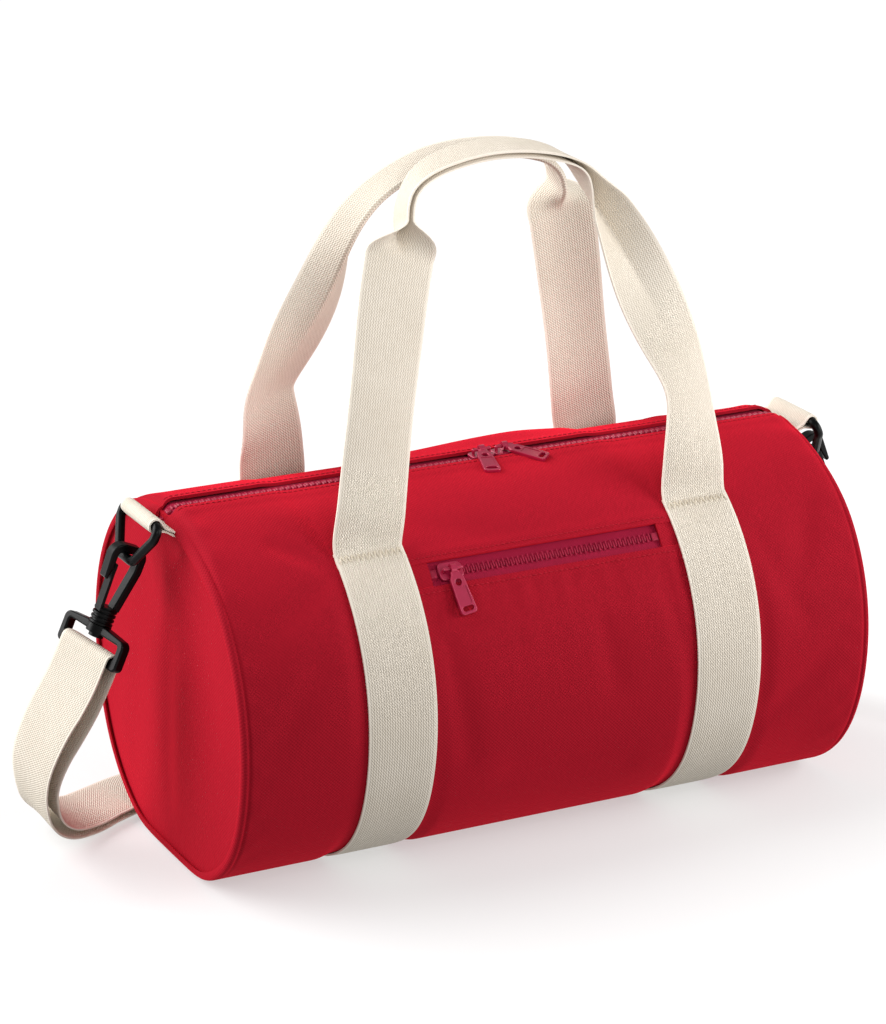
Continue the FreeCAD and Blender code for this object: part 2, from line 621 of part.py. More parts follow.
def bar_lie(here):
    """The direction of the webbing's width: along Y on the floor, along the bar at the bar's height."""
    bar = (Rotation(Y, CLIP_LEAN) * Rotation(Z, BASE_TURN)).multVec(Y)
    bar.x = math.copysign(bar.x, here.x)
    share = min(1, max(0, here.z / by_bar(-1, 0, 0).z - 0.2) / 0.6)
    return Y * (1 - share) + bar * share


def draped(side, out, back, up):
    """A point of the strap's drape, in shares of its bow, its floor line and the bar's height."""
    bar = by_bar(side, 0, 0)
    return Vector(bar.x + side * out * STRAP_BOW, back * STRAP_LINE, up * bar.z)


# Shoulder strap: sewn end at the adjuster, out to the left hook and back, on to the right hook
wrap = BASE_BAR / 2 + BAR_SLACK + WEBBING / 2
top_layer = STRAP_FLOOR + 2 * LAYER_STEP
bar_space = ADJUSTER_SLACK + WEBBING / 2
under_bar = ADJUSTER_HEIGHT - ADJUSTER_THICKNESS / 2 - bar_space
over_bar = ADJUSTER_HEIGHT + ADJUSTER_THICKNESS / 2 + bar_space
round_bar = ADJUSTER_BAR / 2 + bar_space


def floor_point(x, z):
    """A point of the strap beside the adjuster, x from its middle."""
    return Vector(ADJUSTER_X + x, STRAP_LINE, z)


def lying(side, z):
    """The point where the strap starts to lift from its floor line towards a bar."""
    return Vector(draped(side, -2.74, 1, 0).x, STRAP_LINE, z)


path = [floor_point(-24, STRAP_FLOOR + LAYER_STEP), floor_point(-10, STRAP_FLOOR + LAYER_STEP)]
path += [floor_point(-round_bar - 1, over_bar), floor_point(round_bar, over_bar)]
path += [floor_point(round_bar, under_bar), floor_point(-4, under_bar), floor_point(-10, STRAP_FLOOR)]
path += [lying(-1, STRAP_FLOOR), draped(-1, -1.84, 0.955, 0.0125), draped(-1, -1.03, 0.82, 0.0172)]
path += [draped(-1, -0.32, 0.68, 0.0274), draped(-1, 0.33, 0.523, 0.094), draped(-1, 0.78, 0.364, 0.235)]
path += [draped(-1, 1, 0.205, 0.454), draped(-1, 0.81, 0.08, 0.673), draped(-1, 0.39, 0.011, 0.86)]
path += [by_bar(-1, wrap, -2), by_bar(-1, wrap, wrap), by_bar(-1, -wrap, wrap), by_bar(-1, -wrap, -6)]
path += [draped(-1, 0.26, 0.045, 0.767), draped(-1, 0.76, 0.205, 0.47), draped(-1, 0.6, 0.375, 0.266)]
path += [draped(-1, 0.21, 0.523, 0.133), draped(-1, -0.4, 0.68, 0.0665), draped(-1, -1.06, 0.81, 0.0532)]
path += [draped(-1, -1.84, 0.955, 0.0462)]
path += [lying(-1, top_layer), floor_point(-11, top_layer)]
crossing = over_bar + LAYER_STEP
path += [floor_point(-round_bar - 1.5, crossing), floor_point(round_bar + 1, crossing)]
path += [floor_point(10, STRAP_FLOOR), lying(1, STRAP_FLOOR), draped(1, -1.7, 0.966, 0.0163)]
path += [draped(1, -0.6, 0.84, 0.048), draped(1, 0.15, 0.648, 0.148), draped(1, 0.46, 0.41, 0.369)]
path += [draped(1, 0.42, 0.136, 0.702)]
path += [by_bar(1, wrap, -3), by_bar(1, wrap, wrap), by_bar(1, -wrap, wrap), by_bar(1, -wrap, -9)]
path += [draped(1, 0.175, 0.068, 0.768), draped(1, 0.29, 0.182, 0.606)]
shoulder_strap = ribbon(path, WEBBING_WIDTH, WEBBING, bar_lie)

adjuster_half = ADJUSTER_LENGTH / 2
adjuster_line = box_corners(-adjuster_half, adjuster_half, -base_half, base_half, 4)
bar_half = ADJUSTER_BAR / 2
slots = [box_corners(-adjuster_half + 4, -bar_half, -slot_half, slot_half, 1)]
slots += [box_corners(bar_half, adjuster_half - 4, -slot_half, slot_half, 1)]
adjuster_z = ADJUSTER_HEIGHT - ADJUSTER_THICKNESS / 2


def on_adjuster(u, v):
    """A point of the adjuster's underside."""
    return Vector(ADJUSTER_X + u, STRAP_LINE + v, adjuster_z)


strap_adjuster = plate(adjuster_line, slots, on_adjuster, Z * ADJUSTER_THICKNESS)


def mirrored(shape):
    """The shape at the other end of the barrel."""
    return shape.mirror(Vector(), X)


def moved(shape, x):
    """A copy of the shape moved along the barrel."""
    copy = shape.copy()
    copy.translate(Vector(x, 0, 0))
    return copy


nodes = {
    "main_panel": main_panel,
    "front_lip_panel": front_lip_panel,
    "back_lip_panel": back_lip_panel,
    "left_end_panel": mirrored(end_panel),
    "right_end_panel": end_panel,
    "left_seam_binding": mirrored(seam_binding),
    "right_seam_binding": seam_binding,
    "left_band": moved(band, -BAND_CENTRE),
    "right_band": moved(band, BAND_CENTRE),
    "front_handle": front_handle,
    "back_handle": turned(front_handle, Vector(), Z, 180),
    "front_zip_tape": front_zip_tape,
    "back_zip_tape": back_zip_tape,
    "front_zip_teeth": front_zip_teeth,
    "back_zip_teeth": back_zip_teeth,
    "left_zip_end_tapes": mirrored(zip_end_tapes),
    "right_zip_end_tapes": zip_end_tapes,
    "left_zip_end_teeth": mirrored(zip_end_teeth),
    "right_zip_end_teeth": zip_end_teeth,
    "main_zip_stops": Part.makeCompound([mirrored(zip_stop), zip_stop]),
    "main_slider_left": main_slider_left,
    "main_slider_right": main_slider_right,
    "main_pull_left": main_pull_left,
    "main_pull_right": main_pull_right,
    "pocket_upper_tape": pocket_upper_tape,
    "pocket_lower_tape": pocket_lower_tape,
    "pocket_upper_teeth": pocket_upper_teeth,
    "pocket_lower_teeth": pocket_lower_teeth,
    "pocket_stops": pocket_stops,
    "pocket_slider": pocket_slider,
    "pocket_pull": pocket_pull,
    "pocket_pouch": pocket_pouch,
    "shoulder_strap": shoulder_strap,
    "strap_adjuster": strap_adjuster,
}
clip = {"tab": tab, "ring": at_tab(d_ring), "hook": at_tab(hook), "gate": at_tab(gate)}
clip["swivel_base"] = at_tab(swivel_base)
for name, shape in clip.items():
    nodes["left_" + name] = shape
    nodes["right_" + name] = mirrored(shape)

os.makedirs("parts", exist_ok=True)
for name, shape in nodes.items():
    if not shape.isValid() or any(solid.Volume <= 0 for solid in shape.Solids):
        raise ValueError(name + " is not a sound solid")
    shape.exportStep("parts/" + name + ".step")
    print(name, len(shape.Solids), round(shape.Volume))
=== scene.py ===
# %% [markdown]
# # A barrel bag in red canvas
# The bag is a soft canvas barrel with two webbing bands that run on up into the carrying handles,
# a zipped mouth along the top, a zipped pocket on the front and a shoulder strap on snap hooks.
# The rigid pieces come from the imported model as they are. Everything sewn is made here, as surfaces
# worked out with numpy in millimetres and stored in metres.

# %% Load the frame
import math

import bpy
import numpy as np
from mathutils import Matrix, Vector


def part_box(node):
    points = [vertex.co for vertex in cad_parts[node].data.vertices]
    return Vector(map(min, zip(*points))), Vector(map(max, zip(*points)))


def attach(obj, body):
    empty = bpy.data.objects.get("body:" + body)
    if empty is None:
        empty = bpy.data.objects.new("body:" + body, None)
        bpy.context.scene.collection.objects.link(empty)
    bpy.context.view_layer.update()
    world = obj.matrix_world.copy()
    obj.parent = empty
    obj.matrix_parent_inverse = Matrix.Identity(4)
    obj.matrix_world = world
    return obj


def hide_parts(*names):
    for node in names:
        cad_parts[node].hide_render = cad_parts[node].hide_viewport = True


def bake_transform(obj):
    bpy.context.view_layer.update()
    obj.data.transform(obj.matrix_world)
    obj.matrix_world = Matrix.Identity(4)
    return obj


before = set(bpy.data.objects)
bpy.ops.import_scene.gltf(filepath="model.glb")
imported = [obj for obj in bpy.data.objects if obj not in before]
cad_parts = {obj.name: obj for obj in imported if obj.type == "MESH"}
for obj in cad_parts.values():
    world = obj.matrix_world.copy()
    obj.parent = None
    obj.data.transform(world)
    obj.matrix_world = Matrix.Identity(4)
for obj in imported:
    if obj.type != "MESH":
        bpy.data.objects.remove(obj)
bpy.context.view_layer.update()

MM = 0.001
end_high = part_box("right_end_panel")[1]
HALF = end_high.x / MM
RADIUS = end_high.y / MM
AXIS_Z = end_high.z / MM - RADIUS
print("barrel", round(2 * HALF, 1), "long, radius", round(RADIUS, 1), "axis at", round(AXIS_Z, 1))

# %% [markdown]
# ## From arrays to pieces
# A sewn sheet is a grid of points with a second grid behind it, so that an open mouth shows real
# thickness. The Solidify modifier could add it, but a second grid that is worked out here can also be
# kept off the floor. Some cells can be left out, which makes a slot with proper walls. The webbing, the
# tapes and the canvas are all made by this one function.

# %% Sheets and meshes
SHARP_ANGLE = 45.0


def grid_cells(rows, columns):
    """The cells of a grid of points, each as the four point numbers round it."""
    index = np.arange(rows * columns).reshape(rows, columns)
    return np.stack([index[:-1, :-1], index[:-1, 1:], index[1:, 1:], index[1:, :-1]], -1)


def sheet_faces(outer, inner, keep=None):
    """Faces of a thick sheet: the outer grid, the inner grid and a wall wherever a kept cell meets none."""
    cells = grid_cells(*outer.shape[:2])
    total = outer.shape[0] * outer.shape[1]
    if keep is None:
        keep = np.ones(cells.shape[:2], bool)
    ring = np.pad(keep, 1)
    beyond = (ring[:-2, 1:-1], ring[1:-1, 2:], ring[2:, 1:-1], ring[1:-1, :-2])
    kept = cells[keep]
    faces = [kept, kept[:, ::-1] + total]
    for side in range(4):
        edge = cells[keep & ~beyond[side]]
        start = edge[:, side]
        end = edge[:, (side + 1) % 4]
        faces.append(np.stack([end, start, start + total, end + total], -1))
    faces = np.concatenate(faces)
    flat = outer.reshape(-1, 3)
    normal = np.cross(flat[kept[:, 1]] - flat[kept[:, 0]], flat[kept[:, 3]] - flat[kept[:, 0]])
    outward = flat[kept[:, 0]] - inner.reshape(-1, 3)[kept[:, 0]]
    return faces if np.sum(normal * outward) > 0 else faces[:, ::-1]


def make_piece(name, points, blocks, finish, uv=None):
    """A mesh object from points in millimetres and blocks of faces, with unused points dropped."""
    points = np.asarray(points, float).reshape(-1, 3)
    used = np.unique(np.concatenate([block.ravel() for block in blocks]))
    number = np.zeros(len(points), int)
    number[used] = np.arange(len(used))
    mesh = bpy.data.meshes.new(name)
    faces = [face for block in blocks for face in number[block].tolist()]
    mesh.from_pydata((points[used] * MM).tolist(), [], faces)
    mesh.materials.append(finish)
    if uv is not None:
        corner = np.empty(len(mesh.loops), np.int32)
        mesh.loops.foreach_get("vertex_index", corner)
        flat = (np.asarray(uv, float).reshape(-1, 2)[used] * MM)[corner]
        mesh.uv_layers.new(name="UVMap").data.foreach_set("uv", flat.astype(np.float32).ravel())
    mesh.shade_smooth()
    mesh.set_sharp_from_angle(angle=math.radians(SHARP_ANGLE))
    piece = bpy.data.objects.new(name, mesh)
    bpy.context.scene.collection.objects.link(piece)
    print(name, len(used), "points", len(faces), "faces")
    return piece


def make_sheet(name, outer, inner, finish, uv, keep=None):
    """A thick sheet between two grids, its pattern laid out by the same uv on both sides."""
    points = np.concatenate([outer.reshape(-1, 3), inner.reshape(-1, 3)])
    both = np.concatenate([uv.reshape(-1, 2), uv.reshape(-1, 2)])
    return make_piece(name, points, [sheet_faces(outer, inner, keep)], finish, both)


# %% Small formulas


def smooth(t):
    """Rises from 0 to 1 as t does, level at both ends."""
    t = np.clip(t, 0, 1)
    return t * t * (3 - 2 * t)


def bell(t):
    """1 at t = 0, falling away on both sides."""
    return np.exp(-t * t)


def unit(v):
    """Vectors scaled to length 1."""
    return v / np.linalg.norm(v, axis=-1, keepdims=True)


# %% [markdown]
# ## Finishes
# Each finish starts from the real material. Cotton canvas is a plain weave, so its relief is one
# sine across times one sine along. Webbing has ribs along its length with the weft showing between
# them, and a smooth selvedge at each edge. An image could be used, but a formula on the piece's own
# uv, laid out in metres along and across the cloth, keeps the threads at their real size everywhere.

# %% Node helpers


def colour(code):
    """An sRGB hex colour as linear red, green, blue and alpha."""
    parts = [int(code[i:i + 2], 16) / 255 for i in (1, 3, 5)]
    return [c / 12.92 if c <= 0.04045 else ((c + 0.055) / 1.055) ** 2.4 for c in parts] + [1.0]


def add_node(tree, kind, settings, inputs):
    """A shader node with its settings, each input given as a value or as the socket that feeds it."""
    node = tree.nodes.new("ShaderNode" + kind)
    for name, value in settings.items():
        setattr(node, name, value)
    for name, value in inputs.items():
        if isinstance(value, bpy.types.NodeSocket):
            tree.links.new(value, node.inputs[name])
        else:
            node.inputs[name].default_value = value
    return node


def start_finish(name, sockets):
    """A new material, its node tree and its shader with constant values on the shader's sockets."""
    material = bpy.data.materials.new(name)
    material.use_nodes = True
    shader = material.node_tree.nodes["Principled BSDF"]
    for socket, value in sockets.items():
        shader.inputs[socket].default_value = value
    return material, material.node_tree, shader


def wave(tree, value, period, phase=0.0):
    """The sine of a length in metres, one turn for each period in millimetres."""
    steps = {0: value, 1: 2 * math.pi / (period * MM), 2: phase}
    turned = add_node(tree, "Math", {"operation": "MULTIPLY_ADD"}, steps)
    return add_node(tree, "Math", {"operation": "SINE"}, {0: turned.outputs[0]}).outputs[0]


# %% Woven finishes
BAND_WIDTH = 40.0
SELVEDGE = 1.8
FADE_SIZE = 45.45
CLOTH = {"Sheen Weight": 0.02, "Sheen Roughness": 0.45, "Specular IOR Level": 0.1}
NAP = {"Sheen Weight": 0.9, "Sheen Roughness": 0.5, "Sheen Tint": colour("#ff2038")}
NAPPED_CLOTH = {**CLOTH, **NAP}


def woven(name, light, dark, across, along, depth, roughness,
          rib=0.0, contrast=0.12, fleck=0.35, edge=None, sockets=CLOTH):
    """Cloth on its uv: a sine across times a sine along, ribs, thread flecks and slow fading.

    Across and along are the periods of the sines, and depth is the relief, in millimetres. Where an edge
    is given, in millimetres from the middle, the weave calms down to a plain selvedge there.
    """
    material, tree, shader = start_finish(name, {"Roughness": roughness, **sockets})
    times = {"operation": "MULTIPLY"}
    plus = {"operation": "MULTIPLY_ADD"}
    uv = add_node(tree, "TexCoord", {}, {}).outputs["UV"]
    parts = add_node(tree, "SeparateXYZ", {}, {0: uv})
    warp = wave(tree, parts.outputs["X"], across)
    weft = wave(tree, parts.outputs["Y"], along)
    weave = add_node(tree, "Math", times, {0: warp, 1: weft}).outputs[0]
    ribs = wave(tree, parts.outputs["X"], across, math.pi / 2)
    relief = add_node(tree, "Math", plus, {0: ribs, 1: rib, 2: weave}).outputs[0]
    spread = {"Vector": uv, "Scale": (1 / (across * MM), 0.3 / (along * MM), 1)}
    stretched = add_node(tree, "Mapping", {}, spread).outputs[0]
    slub = add_node(tree, "TexNoise", {}, {"Vector": stretched, "Scale": 1.0, "Detail": 3.0}).outputs[0]
    fading = {"Vector": uv, "Scale": 1 / (FADE_SIZE * MM), "Detail": 2.0}
    slow = add_node(tree, "TexNoise", {}, fading).outputs[0]
    tone = add_node(tree, "Math", plus, {0: relief, 1: -contrast, 2: 0.12}).outputs[0]
    tone = add_node(tree, "Math", plus, {0: slub, 1: fleck, 2: tone}).outputs[0]
    height = add_node(tree, "Math", plus, {0: slub, 1: 1.6, 2: relief}).outputs[0]
    if edge:
        off = add_node(tree, "Math", {"operation": "ABSOLUTE"}, {0: parts.outputs["X"]}).outputs[0]
        calm = {"Value": off, "From Min": (edge - SELVEDGE) * MM, "From Max": (edge - SELVEDGE + 1) * MM}
        inside = add_node(tree, "MapRange", {}, {**calm, "To Min": 1.0, "To Max": 0.15}).outputs[0]
        tone = add_node(tree, "Math", times, {0: tone, 1: inside}).outputs[0]
        height = add_node(tree, "Math", times, {0: height, 1: inside}).outputs[0]
    share = add_node(tree, "Math", {"use_clamp": True, **plus}, {0: slow, 1: 0.3, 2: tone}).outputs[0]
    mixed = add_node(tree, "Mix", {"data_type": "RGBA"}, {0: share, 6: colour(light), 7: colour(dark)})
    tree.links.new(mixed.outputs[2], shader.inputs["Base Color"])
    bump = add_node(tree, "Bump", {}, {"Height": height, "Distance": depth * MM, "Strength": 0.6})
    tree.links.new(bump.outputs["Normal"], shader.inputs["Normal"])
    return material


# Plain-woven cotton duck, piece-dyed crimson: matt, with a faint grain and a dyed nap that lights up
# where it is seen along the cloth. Threads are drawn at twice their real 0.5 mm spacing so that they show.
CANVAS_RED = woven("cotton_duck_crimson", "#b01328", "#8a0e1e", 2.0, 2.0, 0.14, 0.86, sockets=NAPPED_CLOTH)
# Cotton webbing in its natural colour: ribs along it at 1.5 mm with the weft between them.
WEBBING_NATURAL = woven("cotton_webbing_natural", "#f6ede0", "#c2b49e", 1.5, 1.8, 0.3, 0.9,
                        rib=0.5, contrast=0.28, fleck=0.28, edge=BAND_WIDTH / 2)
# Knitted polyester zip tape, dyed plum: a finer, shinier weave than the canvas.
ZIP_TAPE = woven("polyester_zip_tape_plum", "#ae153c", "#7a0c29", 1.2, 1.2, 0.1, 0.62)
# Light polyester lining of the pocket.
LINING = woven("polyester_lining_red", "#9d1526", "#6f0b17", 0.8, 0.8, 0.05, 0.55)
# Spun polyester sewing thread: the canvas colour a little lighter, and the webbing colour a little browner.
THREAD_RED = woven("sewing_thread_red", "#bd1c30", "#8a0e1e", 0.5, 0.5, 0.03, 0.6)
THREAD_NATURAL = woven("sewing_thread_natural", "#f3eadb", "#cdbfa6", 0.5, 0.5, 0.03, 0.6)
print("woven finishes", len(bpy.data.materials))

# %% Moulded and cast finishes
TONE_SIZE = 11.11


def moulded(name, light, dark, roughness, grain, depth, sockets):
    """A moulded or cast surface: fine grain of that size in millimetres and a slow change of tone."""
    material, tree, shader = start_finish(name, sockets)
    spot = add_node(tree, "TexCoord", {}, {}).outputs["Object"]
    fine = {"Vector": spot, "Scale": 1 / (grain * MM), "Detail": 2.0}
    speckle = add_node(tree, "TexNoise", {}, fine).outputs[0]
    bump = add_node(tree, "Bump", {}, {"Height": speckle, "Distance": depth * MM, "Strength": 0.5})
    tree.links.new(bump.outputs["Normal"], shader.inputs["Normal"])
    patches = {"Vector": spot, "Scale": 1 / (TONE_SIZE * MM), "Detail": 3.0}
    broad = add_node(tree, "TexNoise", {}, patches).outputs[0]
    tone = add_node(tree, "Mix", {"data_type": "RGBA"}, {0: broad, 6: colour(light), 7: colour(dark)})
    tree.links.new(tone.outputs[2], shader.inputs["Base Color"])
    worn = {"Value": broad, "To Min": roughness * 0.75, "To Max": min(1.0, roughness * 1.3)}
    gloss = add_node(tree, "MapRange", {}, worn).outputs[0]
    tree.links.new(gloss, shader.inputs["Roughness"])
    return material


# Injection-moulded acetal teeth, plum and slightly glossy.
GLOSSY_ACETAL = {"IOR": 1.48, "Specular IOR Level": 0.3}
TOOTH_PLUM = moulded("acetal_teeth_plum", "#ba2a4a", "#86142f", 0.32, 0.8, 0.02, GLOSSY_ACETAL)
# Zinc castings with a baked plum enamel over the bright metal: a smooth tinted film with a clear gloss.
ENAMEL = {"Metallic": 0.35, "Coat Weight": 0.5, "Coat Roughness": 0.12}
ENAMEL_PLUM = moulded("enamelled_zinc_plum", "#c4214f", "#981538", 0.3, 0.6, 0.015, ENAMEL)
# Injection-moulded black acetal: nearly black, with a satin grain.
SATIN_ACETAL = {"IOR": 1.48, "Specular IOR Level": 0.14}
ACETAL_BLACK = moulded("acetal_black", "#060607", "#030303", 0.32, 0.5, 0.02, SATIN_ACETAL)
print("finishes", len(bpy.data.materials))

# %% [markdown]
# ## The skin of the barrel
# One function gives every point of the outside of the canvas: a round section that stands flat on
# the floor, fuller at its lower corners, dented under the bands, with soft wrinkles. It could be
# sculpted or simulated, but bands, stitches and tapes can ask a formula where to lie, so nothing floats
# or sinks.

# %% Sizes of the skin
# Millimetres, and angles in degrees from the top of the barrel towards its front
BAND_CENTRE = 100.0
WEBBING = 1.6
CANVAS = 1.8
SEWN = 0.3
RIM_ROLL = 3.2
ZIP_EDGE = math.degrees(math.asin(7.0 / RADIUS))
POCKET_ANGLE = 47.5
POCKET_HALF = 70.0
POCKET_TOP = POCKET_ANGLE - ZIP_EDGE
POCKET_FOOT = POCKET_ANGLE + ZIP_EDGE
HEM_HALF = 81.0
PULL_REACH = 84.0
PULL_FOOT = 70.0
STITCH_ANGLE = 36.0
CORNER_FULLNESS = 4.0
END_DIP = {-1: 5.5, 1: 3.0}
DIP_START = 183.0
DIP_RUN = 9.5
SLACK_DIP = 4.0
LIP_RISE = 2.6
PIPING = 4.2
CORNER_ANGLE = 132.0
FLOOR_SOFTNESS = 0.5
# The length of one degree round the barrel
DEGREE = RADIUS * math.pi / 180
print("zip's edge at", round(ZIP_EDGE, 2), "pocket from", round(POCKET_TOP, 2), "to", round(POCKET_FOOT, 2))

# %% Shape of the skin


def place(x, theta, radius):
    """The point at x along the barrel, theta degrees from the top towards the front, radius from its axis."""
    turn = np.radians(theta)
    parts = np.broadcast_arrays(x, -radius * np.sin(turn), AXIS_Z + radius * np.cos(turn))
    return np.stack(parts, -1)


def section(theta):
    """Radius of the plain section: a soft minimum of the round barrel and of the flat it stands on."""
    low = -np.cos(np.radians(theta))
    full = RADIUS + CORNER_FULLNESS * bell((np.abs(theta) - CORNER_ANGLE) / 26)
    flat = AXIS_Z / np.maximum(low, 0.05)
    return -np.logaddexp(-FLOOR_SOFTNESS * full, -FLOOR_SOFTNESS * flat) / FLOOR_SOFTNESS


def zip_dip(x):
    """How far the top of the barrel sinks, past the sliders' reach, where the zip runs into the end seams."""
    return np.where(x < 0, END_DIP[-1], END_DIP[1]) * smooth((np.abs(x) - DIP_START) / DIP_RUN)


def end_sag(x, theta):
    """The sunk top corner of each end: deepest at the zip, reaching further down the front than the back.

    Behind the zip, the slack cloth towards the right end sinks too.
    """
    reach = np.where(theta > 0, smooth((54 - theta) / 32), smooth((30 + theta) / 30))
    return zip_dip(x) * reach + SLACK_DIP * bell((theta + 24) / 10) * smooth((x - 118) / 45)


def mouth_bulge(x, theta):
    """The back lip stands up a little between the handles."""
    return LIP_RISE * bell((theta + 19) / 10) * smooth((84 - np.abs(x)) / 50)


# Soft creases as (x, theta) to (x, theta), width and depth in millimetres
CREASES = [
    (-176, 60, -128, 44, 7, 1.3),
    (-150, 30, -124, 41, 6, 1.2),
    (-186, 96, -146, 70, 9, 1.0),
    (-70, 30, -20, 40, 9, 0.8),
    (-72, 62, -60, 104, 8, 1.0),
    (64, 58, 78, 92, 7, 1.0),
    (20, 56, 30, 90, 8, 0.9),
    (126, 52, 150, 80, 8, 0.9),
    (176, 40, 150, 66, 8, 1.0),
    (130, 110, 176, 90, 9, 0.8),
    (-30, 112, 40, 118, 10, 0.7),
]


def creases(x, theta):
    """The troughs of the listed creases: each fades with the distance from its line."""
    total = 0.0
    along = theta * DEGREE
    for x0, t0, x1, t1, width, depth in CREASES:
        line = np.array([x1 - x0, (t1 - t0) * DEGREE])
        share = ((x - x0) * line[0] + (along - t0 * DEGREE) * line[1]) / (line @ line)
        held = np.clip(share, 0, 1)
        gap = np.hypot(x - x0 - held * line[0], along - t0 * DEGREE - held * line[1])
        total = total - 1.5 * depth * bell(gap / width) * bell((share - 0.5) * 1.1)
    return total


def relief(x, theta):
    """Height of the skin over the plain section: wrinkles, hems, the dents under the bands and the dips.

    Nothing rises where the pocket's pull hangs and travels.
    """
    along = theta * DEGREE
    band = sum(smooth((32 - np.abs(x - side * BAND_CENTRE)) / 11) for side in (-1, 1))
    base = smooth((np.abs(theta) - 118) / 30)
    waves = 1.4 * np.sin(x / 47 + along / 95 + 0.6) * np.sin(along / 58 - x / 120 + 1.9)
    waves = waves + 0.8 * np.sin(x / 27 - along / 71 + 2.6) * np.sin(along / 36 + x / 88)
    gathers = np.sin(x / 2.9 + 1.6 * np.sin(x / 21)) * np.sin(x / 9.5 + 0.4)
    below = np.clip(theta - POCKET_FOOT, 0, None)
    gathers = 0.75 * gathers * smooth(below / 4) * np.exp(-below / 12) * smooth((76 - np.abs(x)) / 10)
    calm = smooth((HALF - np.abs(x) - 5) / 34) * (1 - 0.85 * band) * (1 - base)
    calm = calm * smooth((np.abs(theta) - 7) / 14)
    pocket = smooth((80 - np.abs(x)) / 8) * bell((theta - POCKET_ANGLE) / 9)
    free = calm * (1 - pocket)
    by_pocket = np.abs(x) < HEM_HALF
    hem = 0.7 * smooth(by_pocket * (theta <= POCKET_TOP) * (theta - POCKET_TOP + 5) / 2)
    hem = hem + 0.5 * smooth(by_pocket * (theta >= POCKET_FOOT) * (POCKET_FOOT + 5 - theta) / 2)
    hem = hem + 0.6 * smooth((ZIP_EDGE + 5.5 - np.abs(theta)) / 1.6)
    dents = band * (0.9 + 1.1 * base)
    edge = HALF - np.abs(x)
    pucker = 0.3 * np.sin(along / 3.3 + 1.5 * np.sin(along / 23)) * bell((edge - 11) / 5)
    dents = dents + (0.7 * bell((edge - PIPING) / 1.0) + pucker) * (1 - base)
    drape = free * (waves + creases(x, theta) + mouth_bulge(x, theta)) + gathers * (1 - band)
    under_pull = smooth((PULL_REACH - np.abs(x)) / 6) * smooth((theta - POCKET_FOOT + 4) / 4)
    under_pull = under_pull * smooth((PULL_FOOT - theta) / 7)
    drape = drape + under_pull * (np.clip(drape, -1, 0) - 0.8 - drape)
    return drape + hem - dents - end_sag(x, theta)


def skin(x, theta, lift=0.0):
    """A point of the canvas's outside, lifted outwards, never under the floor."""
    x, theta = np.broadcast_arrays(np.asarray(x, float), np.asarray(theta, float))
    points = place(x, theta, section(theta) + relief(x, theta) + lift)
    points[..., 2] = np.maximum(points[..., 2], 0.0)
    return points


print("skin at the top", skin(0, 0)[2].round(1), "and half way down", -skin(0, 90)[1].round(1))

# %% [markdown]
# ## Pieces by the lips
# When the mouth is unzipped its two lips fold outwards in the middle and stay joined at the ends.
# The canvas, the tapes, the teeth and the stitches by the mouth go through one function, which
# bakes each piece's transform into its mesh and reads its points.

# %% Baking the lips' pieces
SIDES = {1: "front", -1: "back"}
ENDS = {-1: "left", 1: "right"}


def bend_with_lip(piece):
    """Bakes a piece's transform into its mesh and reads its points."""
    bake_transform(piece)
    count = len(piece.data.vertices)
    points = np.empty(count * 3)
    piece.data.vertices.foreach_get("co", points)


# %% [markdown]
# ## Canvas
# The body is cut as one panel, and one grid could make it. But a piece can follow only one lip, so it
# is made as a front and a back half that meet along the middle of the base. Each half is a thick grid,
# x by angle. The front one leaves out the pocket's slot. At both ends the cloth rolls in to the end seam.

# %% Rows and columns of the canvas
roll = np.radians(np.linspace(0, 125, 9))[1:]
flat_x = np.linspace(RIM_ROLL - HALF, HALF - RIM_ROLL, 181)
near_end = HALF - PIPING + np.array([-2.6, -1.8, -1.2, -0.8, -0.4, 0, 0.4, 0.7])
flat_x = np.concatenate([flat_x, -near_end, near_end, [-80, -POCKET_HALF, POCKET_HALF, 80]])
flat_x = np.unique(np.round(flat_x, 3))
ROLL_INSIDE = RIM_ROLL - CANVAS


def rolled_x(radius):
    """The x of the columns: flat between the rims, then round each rim's roll at that radius."""
    rim = HALF - RIM_ROLL + radius * np.sin(roll)
    return np.concatenate([-rim[::-1], flat_x, rim])


def rolled_drop(radius, flat_drop):
    """How far the columns lie under the skin: level between the rims, falling round each roll."""
    rim = RIM_ROLL - radius * np.cos(roll)
    return np.concatenate([rim[::-1], 0 * flat_x + flat_drop, rim])


def canvas_rows(side):
    """The angles of the canvas's rows, with rows on both edges of the pocket's slot at the front."""
    rows = np.linspace(ZIP_EDGE, 180, 150)
    if side < 0:
        return -rows
    beside = np.array([-3, -1.5, -0.4, 0, 0.4, 1.5, 3])
    return np.unique(np.round(np.concatenate([rows, POCKET_TOP + beside, POCKET_FOOT + beside]), 3))


# %% The two halves


